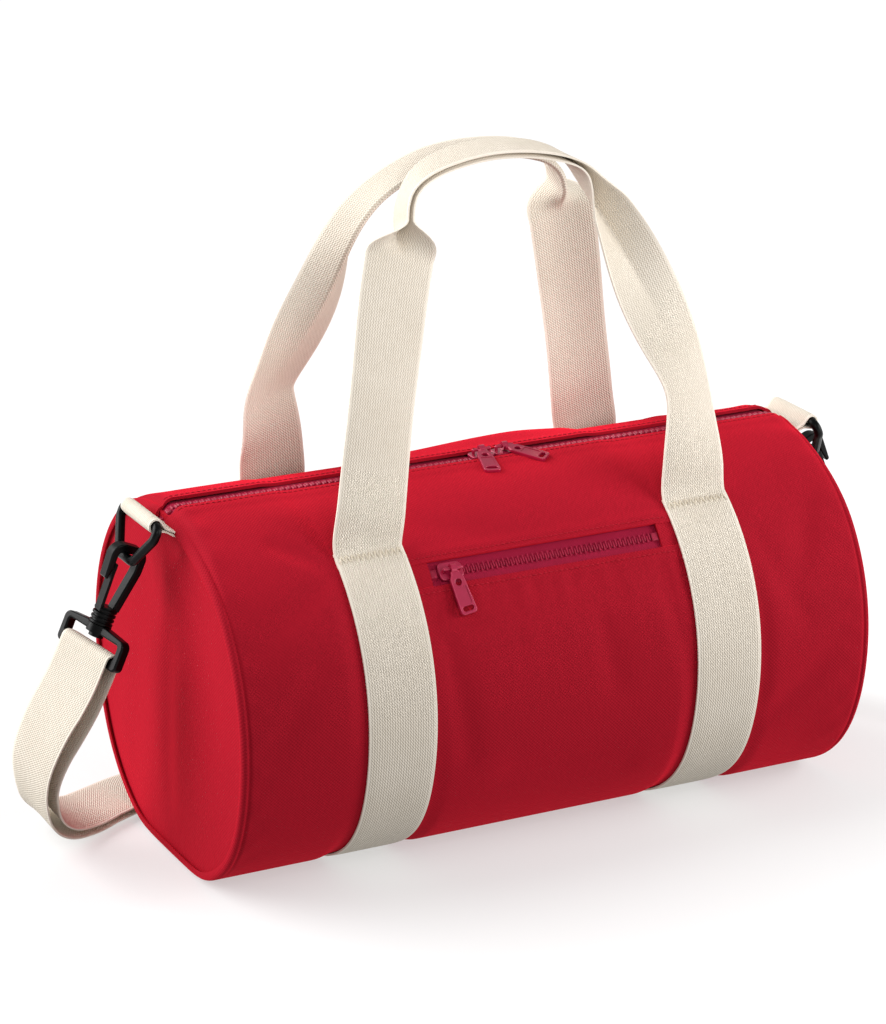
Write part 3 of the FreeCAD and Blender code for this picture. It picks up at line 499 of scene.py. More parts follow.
def canvas_half(side):
    """One half of the canvas: the skin, and the same skin pushed in by the cloth's thickness."""
    theta = canvas_rows(side)[:, None]
    column_x = rolled_x(RIM_ROLL)
    outer = skin(column_x[None, :], theta, -rolled_drop(RIM_ROLL, 0)[None, :])
    inner = skin(rolled_x(ROLL_INSIDE)[None, :], theta, -rolled_drop(ROLL_INSIDE, CANVAS)[None, :])
    inner[..., 2] = np.maximum(inner[..., 2], CANVAS * 0.6)
    uv = np.stack(np.broadcast_arrays(column_x[None, :], theta * DEGREE), -1)
    middle_x = (column_x[1:] + column_x[:-1]) / 2
    middle_t = (theta[1:, 0] + theta[:-1, 0]) / 2
    slot = (np.abs(middle_x)[None, :] < POCKET_HALF) & (np.abs(middle_t - POCKET_ANGLE) < ZIP_EDGE)[:, None]
    piece = make_sheet(SIDES[side] + "_canvas", outer, inner, CANVAS_RED, uv, ~slot)
    bend_with_lip(piece)
    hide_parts("main_panel", SIDES[side] + "_lip_panel")


for side in SIDES:
    canvas_half(side)

# %% [markdown]
# ## End panels
# Each end is a disc of canvas sewn inside the rolled rim. It could be a fan of rings, but a fan's pole
# shows in the shading, so a square grid is pressed into a disc. The disc sits back behind the rim,
# swells a little and has slack folds.

# %% End panels
END_SWELL = 3.5
END_BACK = 2.6


def end_panel(side):
    """A disc whose radius follows the barrel's section, swelling outwards towards its middle."""
    line = np.linspace(-1, 1, 97)
    p, q = np.meshgrid(line, line, indexing="ij")
    u = p * np.sqrt(1 - q * q / 2)
    v = q * np.sqrt(1 - p * p / 2)
    share = np.hypot(u, v)
    theta = np.degrees(np.arctan2(-u, v))
    rim = section(theta) + relief(HALF, theta) - RIM_ROLL
    y = -rim * share * np.sin(np.radians(theta))
    z = np.maximum(AXIS_Z + rim * share * np.cos(np.radians(theta)), 0.4)
    folds = 1.6 * bell((y + 6 + 0.1 * (z - 110)) / 9) * smooth((170 - z) / 60) * smooth(z / 50)
    folds = folds + 1.0 * bell((y - 42 + 0.25 * (z - 80)) / 13) + 0.7 * np.sin(y / 19 + z / 63 + 1.0)
    out = END_SWELL * (1 - share ** 2) - folds * smooth((1 - share) / 0.25)
    x = side * (HALF - END_BACK + out)
    outer = np.stack([x, y, z], -1)
    inner = np.stack([x - side * CANVAS, y, np.maximum(z, 1.0)], -1)
    name = ENDS[side] + "_end_panel"
    piece = make_sheet(name + "_cloth", outer, inner, CANVAS_RED, np.stack([y, z], -1))
    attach(piece, "bag")
    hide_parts(name)


for side in ENDS:
    end_panel(side)

# %% [markdown]
# ## Binding
# Inside, a narrow tape covers the raw edges of each end seam. It hardly shows and could be left out, but
# an open mouth lets the eye in, so it is there: a strip of the skin, pushed in by the canvas.

# %% Seam bindings
BINDING_WIDTH = 12.0
BINDING_INSET = 3.5
BINDING_DEPTH = CANVAS + 0.6
BINDING = 1.0
BINDING_FLOOR = 2.4


def seam_binding(side):
    """A strip inside the barrel next to an end, open at the top where the zip runs in."""
    theta = np.linspace(12, 348, 240)[:, None]
    signed = np.where(theta > 180, theta - 360, theta)
    x = side * (HALF - BINDING_INSET - np.linspace(0, BINDING_WIDTH, 7))[None, :]
    outer = skin(x, signed, -BINDING_DEPTH)
    inner = skin(x, signed, -BINDING_DEPTH - BINDING)
    outer[..., 2] = np.maximum(outer[..., 2], BINDING_FLOOR)
    inner[..., 2] = np.maximum(inner[..., 2], BINDING_FLOOR + BINDING)
    uv = np.stack(np.broadcast_arrays(x, theta * DEGREE), -1)
    name = ENDS[side] + "_seam_binding"
    piece = make_sheet(name + "_tape", outer, inner, ZIP_TAPE, uv)
    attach(piece, "bag")
    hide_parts(name)


for side in ENDS:
    seam_binding(side)

# %% [markdown]
# ## Webbing
# Bands, handles, tabs and strap are all the same 40 mm webbing. A band could be a flat strip that a
# Shrinkwrap modifier lays on the canvas, but the skin's formula places it exactly: a strip of the skin,
# lifted by half its own thickness, with slightly thinner edges.

# %% Bands
across_band = np.linspace(-BAND_WIDTH / 2, BAND_WIDTH / 2, 17)


def edge_thin(w):
    """The webbing's half thickness across its width, thinner at the edges."""
    return WEBBING / 2 * (1 - 0.4 * np.abs(2 * w / BAND_WIDTH) ** 8)


def band(side):
    """A strip round the barrel from stitches to stitches, under the base."""
    start = STITCH_ANGLE + 0.3
    theta = np.linspace(start, 360 - start, 331)[:, None]
    signed = np.where(theta > 180, theta - 360, theta)
    middle = side * BAND_CENTRE
    radius = section(signed) + relief(middle, signed) + SEWN + WEBBING / 2
    half = edge_thin(across_band)[None, :]
    x = middle + across_band[None, :]
    outer = place(x, signed, radius + half)
    inner = place(x, signed, radius - half)
    raise_by = np.maximum(0, -outer[..., 2])
    outer[..., 2] += raise_by
    inner[..., 2] += raise_by
    uv = np.stack(np.broadcast_arrays(across_band[None, :], theta * DEGREE), -1)
    name = ENDS[side] + "_band"
    piece = make_sheet(name + "_webbing", outer, inner, WEBBING_NATURAL, uv)
    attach(piece, "bag")
    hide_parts(name)


for side in ENDS:
    band(side)

# %% [markdown]
# ## Handles
# A handle leaves the stitches flat, and is folded in half lengthwise to make the grip. It could be a
# flat strip with the fold drawn on it, but the fold shows from every side, so it is really made. Across
# the webbing, both halves turn outwards about the centre line by an angle that grows from 0 on the
# legs to a right angle at the neck. The path is a spline through points in the handle's leaning plane.
# One leg has slack: it bows out, turns and folds slowly, as it does on the bag.

# %% Paths


def path_length(points):
    """Length along a path at each of its points."""
    return np.append(0, np.cumsum(np.linalg.norm(np.diff(points, axis=0), axis=1)))


def spline(points, count):
    """A natural cubic spline through points, at even steps of its length."""
    points = np.asarray(points, float)
    knots = path_length(points)
    step = np.diff(knots)
    rows = np.arange(1, len(points) - 1)
    system = np.eye(len(points))
    system[rows, rows - 1] = step[:-1]
    system[rows, rows] = 2 * (step[:-1] + step[1:])
    system[rows, rows + 1] = step[1:]
    slope = np.diff(points, axis=0) / step[:, None]
    turn = np.zeros_like(points)
    turn[1:-1] = 6 * np.diff(slope, axis=0)
    turn = np.linalg.solve(system, turn)

    def at(t):
        """The cubic of the stretch that t falls in, from its two knots and their second derivatives."""
        i = np.clip(np.searchsorted(knots, t, side="right") - 1, 0, len(step) - 1)
        a = (t - knots[i])[:, None]
        h = step[i][:, None]
        first = slope[i] - h * (2 * turn[i] + turn[i + 1]) / 6
        return points[i] + a * first + a ** 2 * turn[i] / 2 + a ** 3 * (turn[i + 1] - turn[i]) / (6 * h)

    fine = np.linspace(0, knots[-1], 60 * len(points))
    length = path_length(at(fine))
    return at(np.interp(np.linspace(0, length[-1], count), length, fine))


# %% Handle routes
grip_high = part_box("front_handle")[1]
CROWN = np.array([0, -12.5, grip_high.z / MM - 4.5])
foot = skin(0, STITCH_ANGLE, SEWN + WEBBING / 2)
foot = np.array([0, foot[1], foot[2]])
UPWARD = unit(CROWN - foot)
OUTWARD = unit(np.cross(UPWARD, [1, 0, 0]))
OUTWARD = OUTWARD * np.sign(-OUTWARD[1])
print("handles rise from", foot.round(1), "to", CROWN.round(1))


def in_plane(x, up, out=0.0):
    """A point of the handle's leaning plane."""
    return foot + np.array([x, 0, 0]) + UPWARD * up + OUTWARD * out


# Spots of the routes in the leaning plane: x, up from the stitches and, by the stitches, out of the plane
LEG = [(-97.5, 12, 1), (-91, 35), (-82, 72), (-72.5, 110), (-64.5, 140), (-58, 164)]
FRONT_GRIP = [(-55.4, 177), (-50, 186), (-41, 193), (-27, 198)]
FRONT_GRIP += [(-5, 201), (16, 200), (37, 194.8), (50, 186.5)]
FRONT_SLACK = [(56.5, 176), (61, 166), (69.2, 148), (84, 114)]
FRONT_SLACK += [(97, 84), (103.5, 62), (104.5, 45), (101, 14, 1)]
BACK_GRIP = [(-54, 177), (-48, 184.5), (-38, 190), (-22, 194)]
BACK_GRIP += [(0, 195.5), (22, 193.5), (43, 185.5), (57, 175)]
BACK_SLACK = [(63.5, 166), (71, 148.7), (80, 118), (91.5, 92)]
BACK_SLACK += [(101.5, 72), (107, 57), (105.5, 40), (101, 14, 1)]


def handle_points(grip, slack):
    """The handle's path from the tight leg's stitches over the grip to the slack leg's stitches."""
    toe = [[side * BAND_CENTRE, *skin(side * BAND_CENTRE, angle, SEWN + WEBBING / 2)[1:]]
           for side in (-1, 1) for angle in (41, 37)]
    return toe[:2] + [in_plane(*spot) for spot in LEG + grip + slack] + toe[:1:-1]


# %% Handle surfaces
BEND_LENGTH = 1.5
FOLDED_ANGLE = math.radians(88)
SLACK_TURN = 24.0
TIGHT_TURN = -6.0
CUP = 1.2


def fold_share(path_x, up, start, span):
    """How far the webbing's halves have turned into the fold, from 0 on the legs to 1 on the grip.

    The tight leg folds quickly. The slack leg turns slowly from its start, then closes below the grip.
    """
    slow = smooth((up - start) / span)
    slow = slow + (1 - slow) * smooth((up - 160) / 30)
    return np.where(path_x > 0, slow, smooth((up - 149) / 20))[:, None]


def handle(side, grip, slack, fold_start, fold_span, roll):
    """The folded webbing along its path: a bent section, turned where the slack leg bows out.

    Both halves fold outwards, and the grip rolls over by the given angle.
    """
    path = spline(handle_points(grip, slack), 320)
    along = unit(np.gradient(path, axis=0))
    out = unit(OUTWARD - along * (along @ OUTWARD)[:, None])
    across = np.cross(along, out)
    up = (path - foot) @ UPWARD
    lie = np.where(path[:, 0] > 0, SLACK_TURN * bell((up - 57) / 34), TIGHT_TURN * bell((up - 70) / 40))
    turn = np.radians(lie - roll * smooth((up - 180) / 22))[:, None]
    across, out = across * np.cos(turn) + out * np.sin(turn), out * np.cos(turn) - across * np.sin(turn)
    half_w = np.linspace(2, BAND_WIDTH / 2, 11)
    w = np.concatenate([-half_w[::-1], np.linspace(-BEND_LENGTH, BEND_LENGTH, 9), half_w])[None, :]
    fold = fold_share(path[:, 0], up, fold_start, fold_span)
    angle = np.maximum(FOLDED_ANGLE * fold, 1e-4)
    bent = np.minimum(np.abs(w), BEND_LENGTH) / BEND_LENGTH * angle
    rest = np.maximum(np.abs(w) - BEND_LENGTH, 0)
    reach = np.sign(w) * (BEND_LENGTH / angle * np.sin(bent) + rest * np.cos(angle))
    depth = BEND_LENGTH / angle * (1 - np.cos(bent)) + rest * np.sin(angle)
    cup = CUP * (2 * w / BAND_WIDTH) ** 2 * (1 - fold) * smooth(up / 30)[:, None]
    centre = path - out * BAND_WIDTH / 4 * fold

    def carried(offset):
        """The section on its path, moved off the webbing's middle along the bent section's own normal."""
        a = reach - np.sign(w) * np.sin(bent) * offset
        b = depth - cup + np.cos(bent) * offset
        return centre[:, None] + a[..., None] * across[:, None] + b[..., None] * out[:, None]

    half = edge_thin(w)
    points = [carried(half), carried(-half)]
    if side < 0:
        points = [p * [-1, -1, 1] for p in points]
    length = path_length(path)
    uv = np.stack(np.broadcast_arrays(w, length[:, None]), -1)
    name = SIDES[side] + "_handle"
    print(name, "is", length[-1].round(), "long")
    piece = make_sheet(name + "_webbing", *points, WEBBING_NATURAL, uv)
    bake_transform(piece)
    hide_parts(name)


handle(1, FRONT_GRIP, FRONT_SLACK, fold_start=80, fold_span=140, roll=27)
handle(-1, BACK_GRIP, BACK_SLACK, fold_start=42, fold_span=160, roll=0)

# %% [markdown]
# ## Zips
# Each zip has two tapes under the hems and two rows of moulded teeth that mesh. One tooth is a short
# lofted block of five rings. An Array modifier could repeat it, but a row is one mesh here, the block plus
# an array of places.

# %% Teeth
TAPE_DEPTH = 2.35
TAPE_RADIUS = RADIUS - TAPE_DEPTH
TAPE = 0.8
CHAIN_RADIUS = TAPE_RADIUS - TAPE / 2
POST_ROOM = 2.5
TOOTH_REACH = np.array([-2.6, -1.5, 0.1, 1.0, 1.5])
TOOTH_TALL = np.array([1.25, 1.4, 1.45, 1.35, 0.9]) * 1.08
TOOTH_WIDE = np.array([0.21, 0.24, 0.26, 0.24, 0.15]) * 1.08


def lofted(reach, wide, tall):
    """A small moulding as five rings of eight points: each ring at its reach, as wide and tall as given."""
    turn = np.radians(np.arange(8) * 45 + 22.5)
    across = np.cos(turn)[None, :] * wide[:, None]
    up = np.sin(turn)[None, :] * tall[:, None]
    rings = np.stack(np.broadcast_arrays(across, reach[:, None], up), -1)
    index = np.arange(40).reshape(5, 8)
    ahead = np.roll(index, -1, 1)
    sides = np.stack([index[:-1], index[1:], ahead[1:], ahead[:-1]], -1).reshape(-1, 4)
    return rings.reshape(-1, 3), sides, np.stack([index[0], index[-1][::-1]])


def chain_row(name, moulding, places, side, lean, drop):
    """Mouldings at x places of a chain: side 1 is the front row, lean turns the row round the barrel."""
    shape, sides, caps = moulding
    shape = shape * [1, side, 1]
    if side < 0:
        sides, caps = sides[:, ::-1], caps[:, ::-1]
    points = shape[None] + np.stack([places, 0 * places, CHAIN_RADIUS - drop], -1)[:, None]
    points = points.reshape(-1, 3)
    turn = math.radians(lean)
    y = points[:, 1] * math.cos(turn) - points[:, 2] * math.sin(turn)
    z = points[:, 1] * math.sin(turn) + points[:, 2] * math.cos(turn) + AXIS_Z
    shift = (np.arange(len(places)) * len(shape))[:, None, None]
    blocks = [(block[None] + shift).reshape(-1, block.shape[1]) for block in (sides, caps)]
    return make_piece(name, np.stack([points[:, 0], y, z], -1), blocks, TOOTH_PLUM)


def places_between(low, high, pitch, shift, posts):
    """Tooth places from low to high, leaving out the few where a slider's post stands at rest."""
    first = math.ceil((low - shift) / pitch)
    last = math.floor((high - shift) / pitch)
    places = np.arange(first, last + 1) * pitch + shift
    return places[np.all(np.abs(places[:, None] - posts) > POST_ROOM, axis=1)]


def tape_strip(x, theta, drop):
    """A strip of tape on the barrel's tape radius, lowered by the drop."""
    outer = place(x[None, :], theta[:, None], TAPE_RADIUS - drop)
    inner = place(x[None, :], theta[:, None], TAPE_RADIUS - TAPE - drop)
    return outer, inner, np.stack(np.broadcast_arrays(x[None, :], theta[:, None] * DEGREE), -1)


# %% Zip of the mouth
MAIN_PITCH = 3.6
TAPE_EDGE = 0.86
MAIN_TAPE_REACH = 10.0
MAIN_CHAIN_HALF = HALF - 7
END_TUCK = 2.0
left_low, left_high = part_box("main_slider_left")
right_low, right_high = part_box("main_slider_right")
mouth_posts = np.array([left_low.x + left_high.x, right_low.x + right_high.x]) / 2 / MM
# The short closed ends of the zip are one piece at each end, so each long row takes the place of one
closed_ends = {1: "left", -1: "right"}
for side in SIDES:
    name = SIDES[side] + "_zip"
    x = np.linspace(1.0 - HALF, HALF - 1.0, 191)
    drop = zip_dip(x) + END_TUCK * smooth((np.abs(x) - HALF + 6) / 5)
    strip = tape_strip(x, side * np.linspace(TAPE_EDGE, MAIN_TAPE_REACH, 9), drop)
    tape = make_sheet(name + "_tape_cloth", *strip[:2], ZIP_TAPE, strip[2])
    bend_with_lip(tape)
    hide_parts(name + "_tape", closed_ends[side] + "_zip_end_tapes")
    shift = 0 if side > 0 else MAIN_PITCH / 2
    places = places_between(-MAIN_CHAIN_HALF, MAIN_CHAIN_HALF, MAIN_PITCH, shift, mouth_posts)
    moulding = lofted(TOOTH_REACH, TOOTH_WIDE * MAIN_PITCH, TOOTH_TALL)
    row = chain_row(name + "_teeth_row", moulding, places, side, 0, zip_dip(places))
    bend_with_lip(row)
    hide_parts(name + "_teeth", closed_ends[side] + "_zip_end_teeth")

# %% Stops at the ends of the mouth's zip
STOP_REACH = np.array([-2.4, -2.1, 0.0, 2.1, 2.4])
STOP_TALL = np.array([1.1, 1.6, 1.7, 1.6, 1.1])
STOP_WIDE = np.array([1.5, 2.0, 2.1, 2.0, 1.5])
STOP_INSET = 5.2
stop_x = np.array([-1, 1]) * (HALF - STOP_INSET)
block = lofted(STOP_REACH, STOP_WIDE, STOP_TALL)
stops = chain_row("main_zip_stop_blocks", block, stop_x, 1, 0, zip_dip(stop_x))
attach(stops, "bag")
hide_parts("main_zip_stops")

# %% Pocket zip
POCKET_PITCH = 3.0
POCKET_TAPE_REACH = 9.5
POCKET_TAPE_HALF = 75.0
POCKET_CHAIN_HALF = POCKET_HALF - 5
UPPER_RISE = 1.0
pocket_low, pocket_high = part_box("pocket_slider")
pocket_posts = np.array([pocket_low.x + pocket_high.x]) / 2 / MM
# The upper tape rises to the hem above it
for side, name in ((1, "pocket_lower"), (-1, "pocket_upper")):
    x = np.linspace(-POCKET_TAPE_HALF, POCKET_TAPE_HALF, 61)
    off = np.linspace(TAPE_EDGE, POCKET_TAPE_REACH, 17)
    rise = UPPER_RISE * smooth((off - 4) / 2)[:, None] if side < 0 else 0
    strip = tape_strip(x, POCKET_ANGLE + side * off, -rise)
    tape = make_sheet(name + "_tape_cloth", *strip[:2], ZIP_TAPE, strip[2])
    if side < 0:
        bend_with_lip(tape)
    else:
        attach(tape, "bag")
    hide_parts(name + "_tape")
    shift = 0 if side > 0 else POCKET_PITCH / 2
    places = places_between(-POCKET_CHAIN_HALF, POCKET_CHAIN_HALF, POCKET_PITCH, shift, pocket_posts)
    moulding = lofted(TOOTH_REACH, TOOTH_WIDE * POCKET_PITCH, TOOTH_TALL)
    row = chain_row(name + "_teeth_row", moulding, places, side, POCKET_ANGLE, 0 * places)
    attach(row, "bag")
    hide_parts(name + "_teeth")

# %% [markdown]
# ## Pocket pouch
# Behind the pocket's zip hangs a thin pouch. A cloth simulation could hang it, but little of it shows, so
# a bent section is enough. It runs down behind the front canvas, round a soft bottom and back up to the
# upper tape, and its two walls close together at the sides.

# %% Pouch
SEAM_ANGLE = 8.0
POUCH_ANGLE = 54.0
POUCH_ROOM = 10.0
POUCH_CLOTH = 0.6
POUCH_LENGTH = 220.0
BOTTOM_FROM, BOTTOM_TO = 0.45, 0.55
pouch_x = np.linspace(0.5 - POCKET_TAPE_HALF, POCKET_TAPE_HALF - 0.5, 61)
way = np.linspace(0, 1, 41)
round_bottom = (way - BOTTOM_FROM) / (BOTTOM_TO - BOTTOM_FROM)
front_angle = SEAM_ANGLE + (POUCH_ANGLE - SEAM_ANGLE) * way / BOTTOM_FROM
back_angle = POUCH_ANGLE - (POUCH_ANGLE + SEAM_ANGLE) * (way - BOTTOM_TO) / (1 - BOTTOM_TO)
bottom_angle = POUCH_ANGLE + 2 * np.sin(np.pi * round_bottom)
pouch_angle = np.where(way > BOTTOM_TO, back_angle, np.where(way < BOTTOM_FROM, front_angle, bottom_angle))
below_seam = 1 - smooth((way - 0.93) / 0.07)
gap = 0.3 + (0.9 + POUCH_ROOM * smooth(round_bottom)) * below_seam
side_close = np.sqrt(np.clip(1 - (pouch_x / POCKET_TAPE_HALF) ** 8, 0.02, 1))
pouch_radius = TAPE_RADIUS - TAPE - 0.4 - gap[:, None] * side_close[None, :]
outer = place(pouch_x[None, :], POCKET_ANGLE + pouch_angle[:, None], pouch_radius)
inner = place(pouch_x[None, :], POCKET_ANGLE + pouch_angle[:, None], pouch_radius + POUCH_CLOTH)
uv = np.stack(np.broadcast_arrays(pouch_x[None, :], way[:, None] * POUCH_LENGTH), -1)
pouch = make_sheet("pocket_pouch_cloth", outer, inner, LINING, uv)
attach(pouch, "bag")
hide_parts("pocket_pouch")

# %% [markdown]
# ## Strap and tabs
# A tab is a short loop of webbing round a ring's bar, sewn into the end seam. The strap is one long
# webbing with its free stretches at each end running round the clips' bars. A Blender curve with a flat
# profile could make it, but would twist by itself, so each strip is told where its width points. Its
# route is a list of points that a quadratic spline rounds off.

# %% Strips along a route


def rounded(points, count):
    """A quadratic spline with the points as its corners, at even steps of its length."""
    points = np.asarray(points, float)
    middle = (points[:-1] + points[1:]) / 2
    middle[0] = points[0]
    middle[-1] = points[-1]
    t = np.linspace(0, 1, 24, endpoint=False)[None, :, None]
    a, b, c = middle[:-1, None], points[1:-1, None], middle[1:, None]
    curve = ((1 - t) ** 2 * a + 2 * t * (1 - t) * b + t * t * c).reshape(-1, 3)
    curve = np.concatenate([curve, points[-1:]])
    length = path_length(curve)
    even = np.linspace(0, length[-1], count)
    return np.stack([np.interp(even, length, curve[:, k]) for k in range(3)], -1)


def webbing_strip(name, path, level):
    """Webbing along a path, its width kept as near to the level direction as the path allows."""
    along = unit(np.gradient(path, axis=0))
    across = unit(level - along * np.sum(along * level, axis=1)[:, None])
    normal = np.cross(along, across)
    w = across_band[None, :, None]
    middle = path[:, None] + w * across[:, None]
    half = edge_thin(across_band)[None, :, None] * normal[:, None]
    uv = np.stack(np.broadcast_arrays(across_band[None, :], path_length(path)[:, None]), -1)
    piece = make_sheet(name, middle + half, middle - half, WEBBING_NATURAL, uv)
    return piece


# %% Tabs
LEVEL = np.array([0.0, 1.0, 0.0])
TAB_OUT = 10.5
TAB_Z = AXIS_Z + RADIUS - 4.5
RING_BAR = 2.5
LOOP = RING_BAR + SEWN + WEBBING / 2
NECK = 0.82


def tab_loop(root):
    """A keyhole profile as points (out, z): from the seam round the ring's bar and back beside itself."""
    bar = np.array([TAB_OUT, TAB_Z])
    along = unit(bar - root)
    beside = np.array([-along[1], along[0]])
    turn = np.radians(np.linspace(-125, 125, 15))[:, None]
    bend = bar + LOOP * (np.cos(turn) * along + np.sin(turn) * beside)
    neck = root + np.array([[0], [0.3], [0.52]]) * (bar - root)
    return np.concatenate([neck - NECK * beside, bend, neck[::-1] + NECK * beside])


for side, name in ENDS.items():
    root = np.array([-1.4, AXIS_Z + RADIUS - END_DIP[side] - RIM_ROLL - 2.6])
    route = [(side * (HALF + out), 0, z) for out, z in tab_loop(root)]
    tab = webbing_strip(name + "_tab_webbing", spline(route, 90), LEVEL)
    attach(tab, "bag")
    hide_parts(name + "_tab")

# %% Shoulder strap at the clips
STRAP_LINE = 88.0
STRAP_JOIN = 118.0
STRAP_FLOOR = 1.4
LAYER = 2.1
CLIP_LEAN = math.radians(24.0)
BASE_TURN = math.radians(16.0)
BAR_DROP = 78.5
BASE_BAR = 3.0
BAR_SLACK = 0.8
WRAP = BASE_BAR + BAR_SLACK + WEBBING / 2


def from_tab(side, x, y, z):
    """A point of the clip's own frame, leaned out and set at a tab."""
    out = x * math.cos(CLIP_LEAN) + z * math.sin(CLIP_LEAN) - HALF - TAB_OUT
    return np.array([-side * out, y, TAB_Z - x * math.sin(CLIP_LEAN) + z * math.cos(CLIP_LEAN)])


def by_bar(side, u, v):
    """A point by a swivel base's bar, u away from the bag and v up, in the leaned and turned clip."""
    return from_tab(side, -u * math.cos(BASE_TURN), -u * math.sin(BASE_TURN), v - BAR_DROP)


def bar_lie(side, path):
    """The direction of the webbing's width: along Y on the floor, along the bar at the bar's height."""
    bar = from_tab(side, -math.sin(BASE_TURN), math.cos(BASE_TURN), 0) - from_tab(side, 0, 0, 0)
    share = np.clip((path[:, 2:] / by_bar(side, 0, 0)[2] - 0.2) / 0.6, 0, 1)
    return LEVEL * (1 - share) + bar * share


STRAP_TOP = STRAP_FLOOR + 2 * LAYER
left_route = [(-STRAP_JOIN, STRAP_LINE, STRAP_FLOOR), (-150, STRAP_LINE, STRAP_FLOOR)]
left_route += [(-177.9, 84, 1.6), (-203, 72.2, 2.2), (-225, 59.8, 3.5), (-245.2, 46, 12)]
left_route += [(-259.1, 32, 30), (-265.9, 18, 58), (-260, 7, 86), (-247, 1, 110)]
left_route += [by_bar(-1, WRAP, -2), by_bar(-1, WRAP, WRAP), by_bar(-1, -WRAP, WRAP), by_bar(-1, -WRAP, -6)]
left_route += [(-243, 4, 98), (-258.5, 18, 60), (-253.5, 33, 34), (-241.4, 46, 17)]
left_route += [(-222.5, 59.8, 8.5), (-202.1, 71.3, 6.8), (-177.9, 84, 5.9)]
left_route += [(-150, STRAP_LINE, STRAP_TOP), (-STRAP_JOIN, STRAP_LINE, STRAP_TOP)]
right_route = [(STRAP_JOIN, STRAP_LINE, STRAP_FLOOR), (150, STRAP_LINE, STRAP_FLOOR)]
right_route += [(182.2, 85, 2.1), (216.3, 73.9, 6.1), (239.6, 57, 18.9), (249.2, 36.1, 47.2), (248, 12, 89.7)]
right_route += [by_bar(1, WRAP, -3), by_bar(1, WRAP, WRAP), by_bar(1, -WRAP, WRAP), by_bar(1, -WRAP, -9)]
right_route += [(240.4, 6, 98.1), (243.9, 16, 77.4)]
for side, route in ((-1, left_route), (1, right_route)):
    name = ENDS[side]
    path = rounded(route, 420)
    strip = webbing_strip("strap_" + name + "_drop", path, bar_lie(side, path))
    x = by_bar(side, 0, 0)[0] * MM
    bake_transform(strip)
    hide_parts("shoulder_strap")

# %% Shoulder strap at the adjuster
BAR_Z = 7.9
BAR_TALL = 1.3
BAR_WIDE = 2.0
BAR_CLEAR = 0.6
adjuster_low, adjuster_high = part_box("strap_adjuster")
ADJUSTER_X = (adjuster_low.x + adjuster_high.x) / 2 / MM
OVER = BAR_Z + BAR_TALL + BAR_CLEAR + WEBBING / 2
UNDER = BAR_Z - BAR_TALL - BAR_CLEAR - WEBBING / 2
ROUND = BAR_WIDE + BAR_CLEAR + WEBBING / 2
FROM_LEFT = -STRAP_JOIN - ADJUSTER_X
TO_RIGHT = STRAP_JOIN - ADJUSTER_X
sewn = [(-24, STRAP_FLOOR + LAYER), (-10, STRAP_FLOOR + LAYER), (-ROUND - 1, OVER), (ROUND, OVER)]
sewn += [(ROUND, UNDER), (-4, UNDER), (-10, STRAP_FLOOR), (-60, STRAP_FLOOR), (FROM_LEFT, STRAP_FLOOR)]
running = [(FROM_LEFT, STRAP_TOP), (-60, STRAP_TOP), (-11, STRAP_TOP), (-ROUND - 1.5, OVER + LAYER)]
running += [(ROUND + 1, OVER + LAYER), (10, STRAP_FLOOR), (50, STRAP_FLOOR), (TO_RIGHT, STRAP_FLOOR)]
for name, route in (("sewn_end", sewn), ("running_end", running)):
    points = [(ADJUSTER_X + x, STRAP_LINE, z) for x, z in route]
    strip = webbing_strip("strap_" + name, rounded(points, 260), LEVEL)
    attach(strip, "bag")
    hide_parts("shoulder_strap")

# %% [markdown]
# ## Stitches
# A stitch is a short stretch of thread that sinks into the cloth at both ends. Stitches could be painted
# on with a pattern, but real threads catch the light. A row is one capsule repeated between pairs of
# points, lying on the skin with its own up direction. Topstitching follows the hems, zigzags hold the
# handles.

# %% Stitch rows


def stitch_rows(name, starts, ends, ups, radius, finish):
    """Capsules of thread between start and end points: five rings of six points each."""
    along = ends - starts
    length = np.linalg.norm(along, axis=1)[:, None]
    along = along / length
    ups = unit(ups - along * np.sum(ups * along, axis=1)[:, None])
    sideways = np.cross(along, ups)
    turn = np.radians(np.arange(6) * 60.0)[:, None]
    share = np.array([0.0, 0.12, 0.5, 0.88, 1.0])
    girth = np.array([0.35, 0.85, 1.0, 0.85, 0.35]) * radius
    sag = np.array([-0.6, 0.1, 0.45, 0.1, -0.6]) * radius
    centre = starts[:, None] + along[:, None] * (share[None, :, None] * length[:, None])
    centre = centre + ups[:, None] * sag[None, :, None]
    ring = np.cos(turn) * sideways[:, None, None] + np.sin(turn) * ups[:, None, None]
    points = (centre[:, :, None] + ring * girth[None, :, None, None]).reshape(-1, 3)
    index = np.arange(30).reshape(5, 6)
    ahead = np.roll(index, -1, 1)
    sides = np.stack([index[:-1], ahead[:-1], ahead[1:], index[1:]], -1).reshape(-1, 4)
    caps = np.stack([index[0][::-1], index[-1]])
    shift = (np.arange(len(starts)) * 30)[:, None, None]
    blocks = [(block[None] + shift).reshape(-1, block.shape[1]) for block in (sides, caps)]
    return make_piece(name, points, blocks, finish, points[:, [0, 2]])


def radial(theta):
    """The outward direction at an angle round the barrel."""
    turn = np.radians(theta)
    return np.stack([0 * turn, -np.sin(turn), np.cos(turn)], -1)


# %% Topstitching
STITCH_PITCH = 3.2
STITCH_SHARE = 0.78
STITCH_LIFT = 0.12
FINE_THREAD = 0.32
MOUTH_STITCHED = HALF - 6
POCKET_STITCHED = 79.0


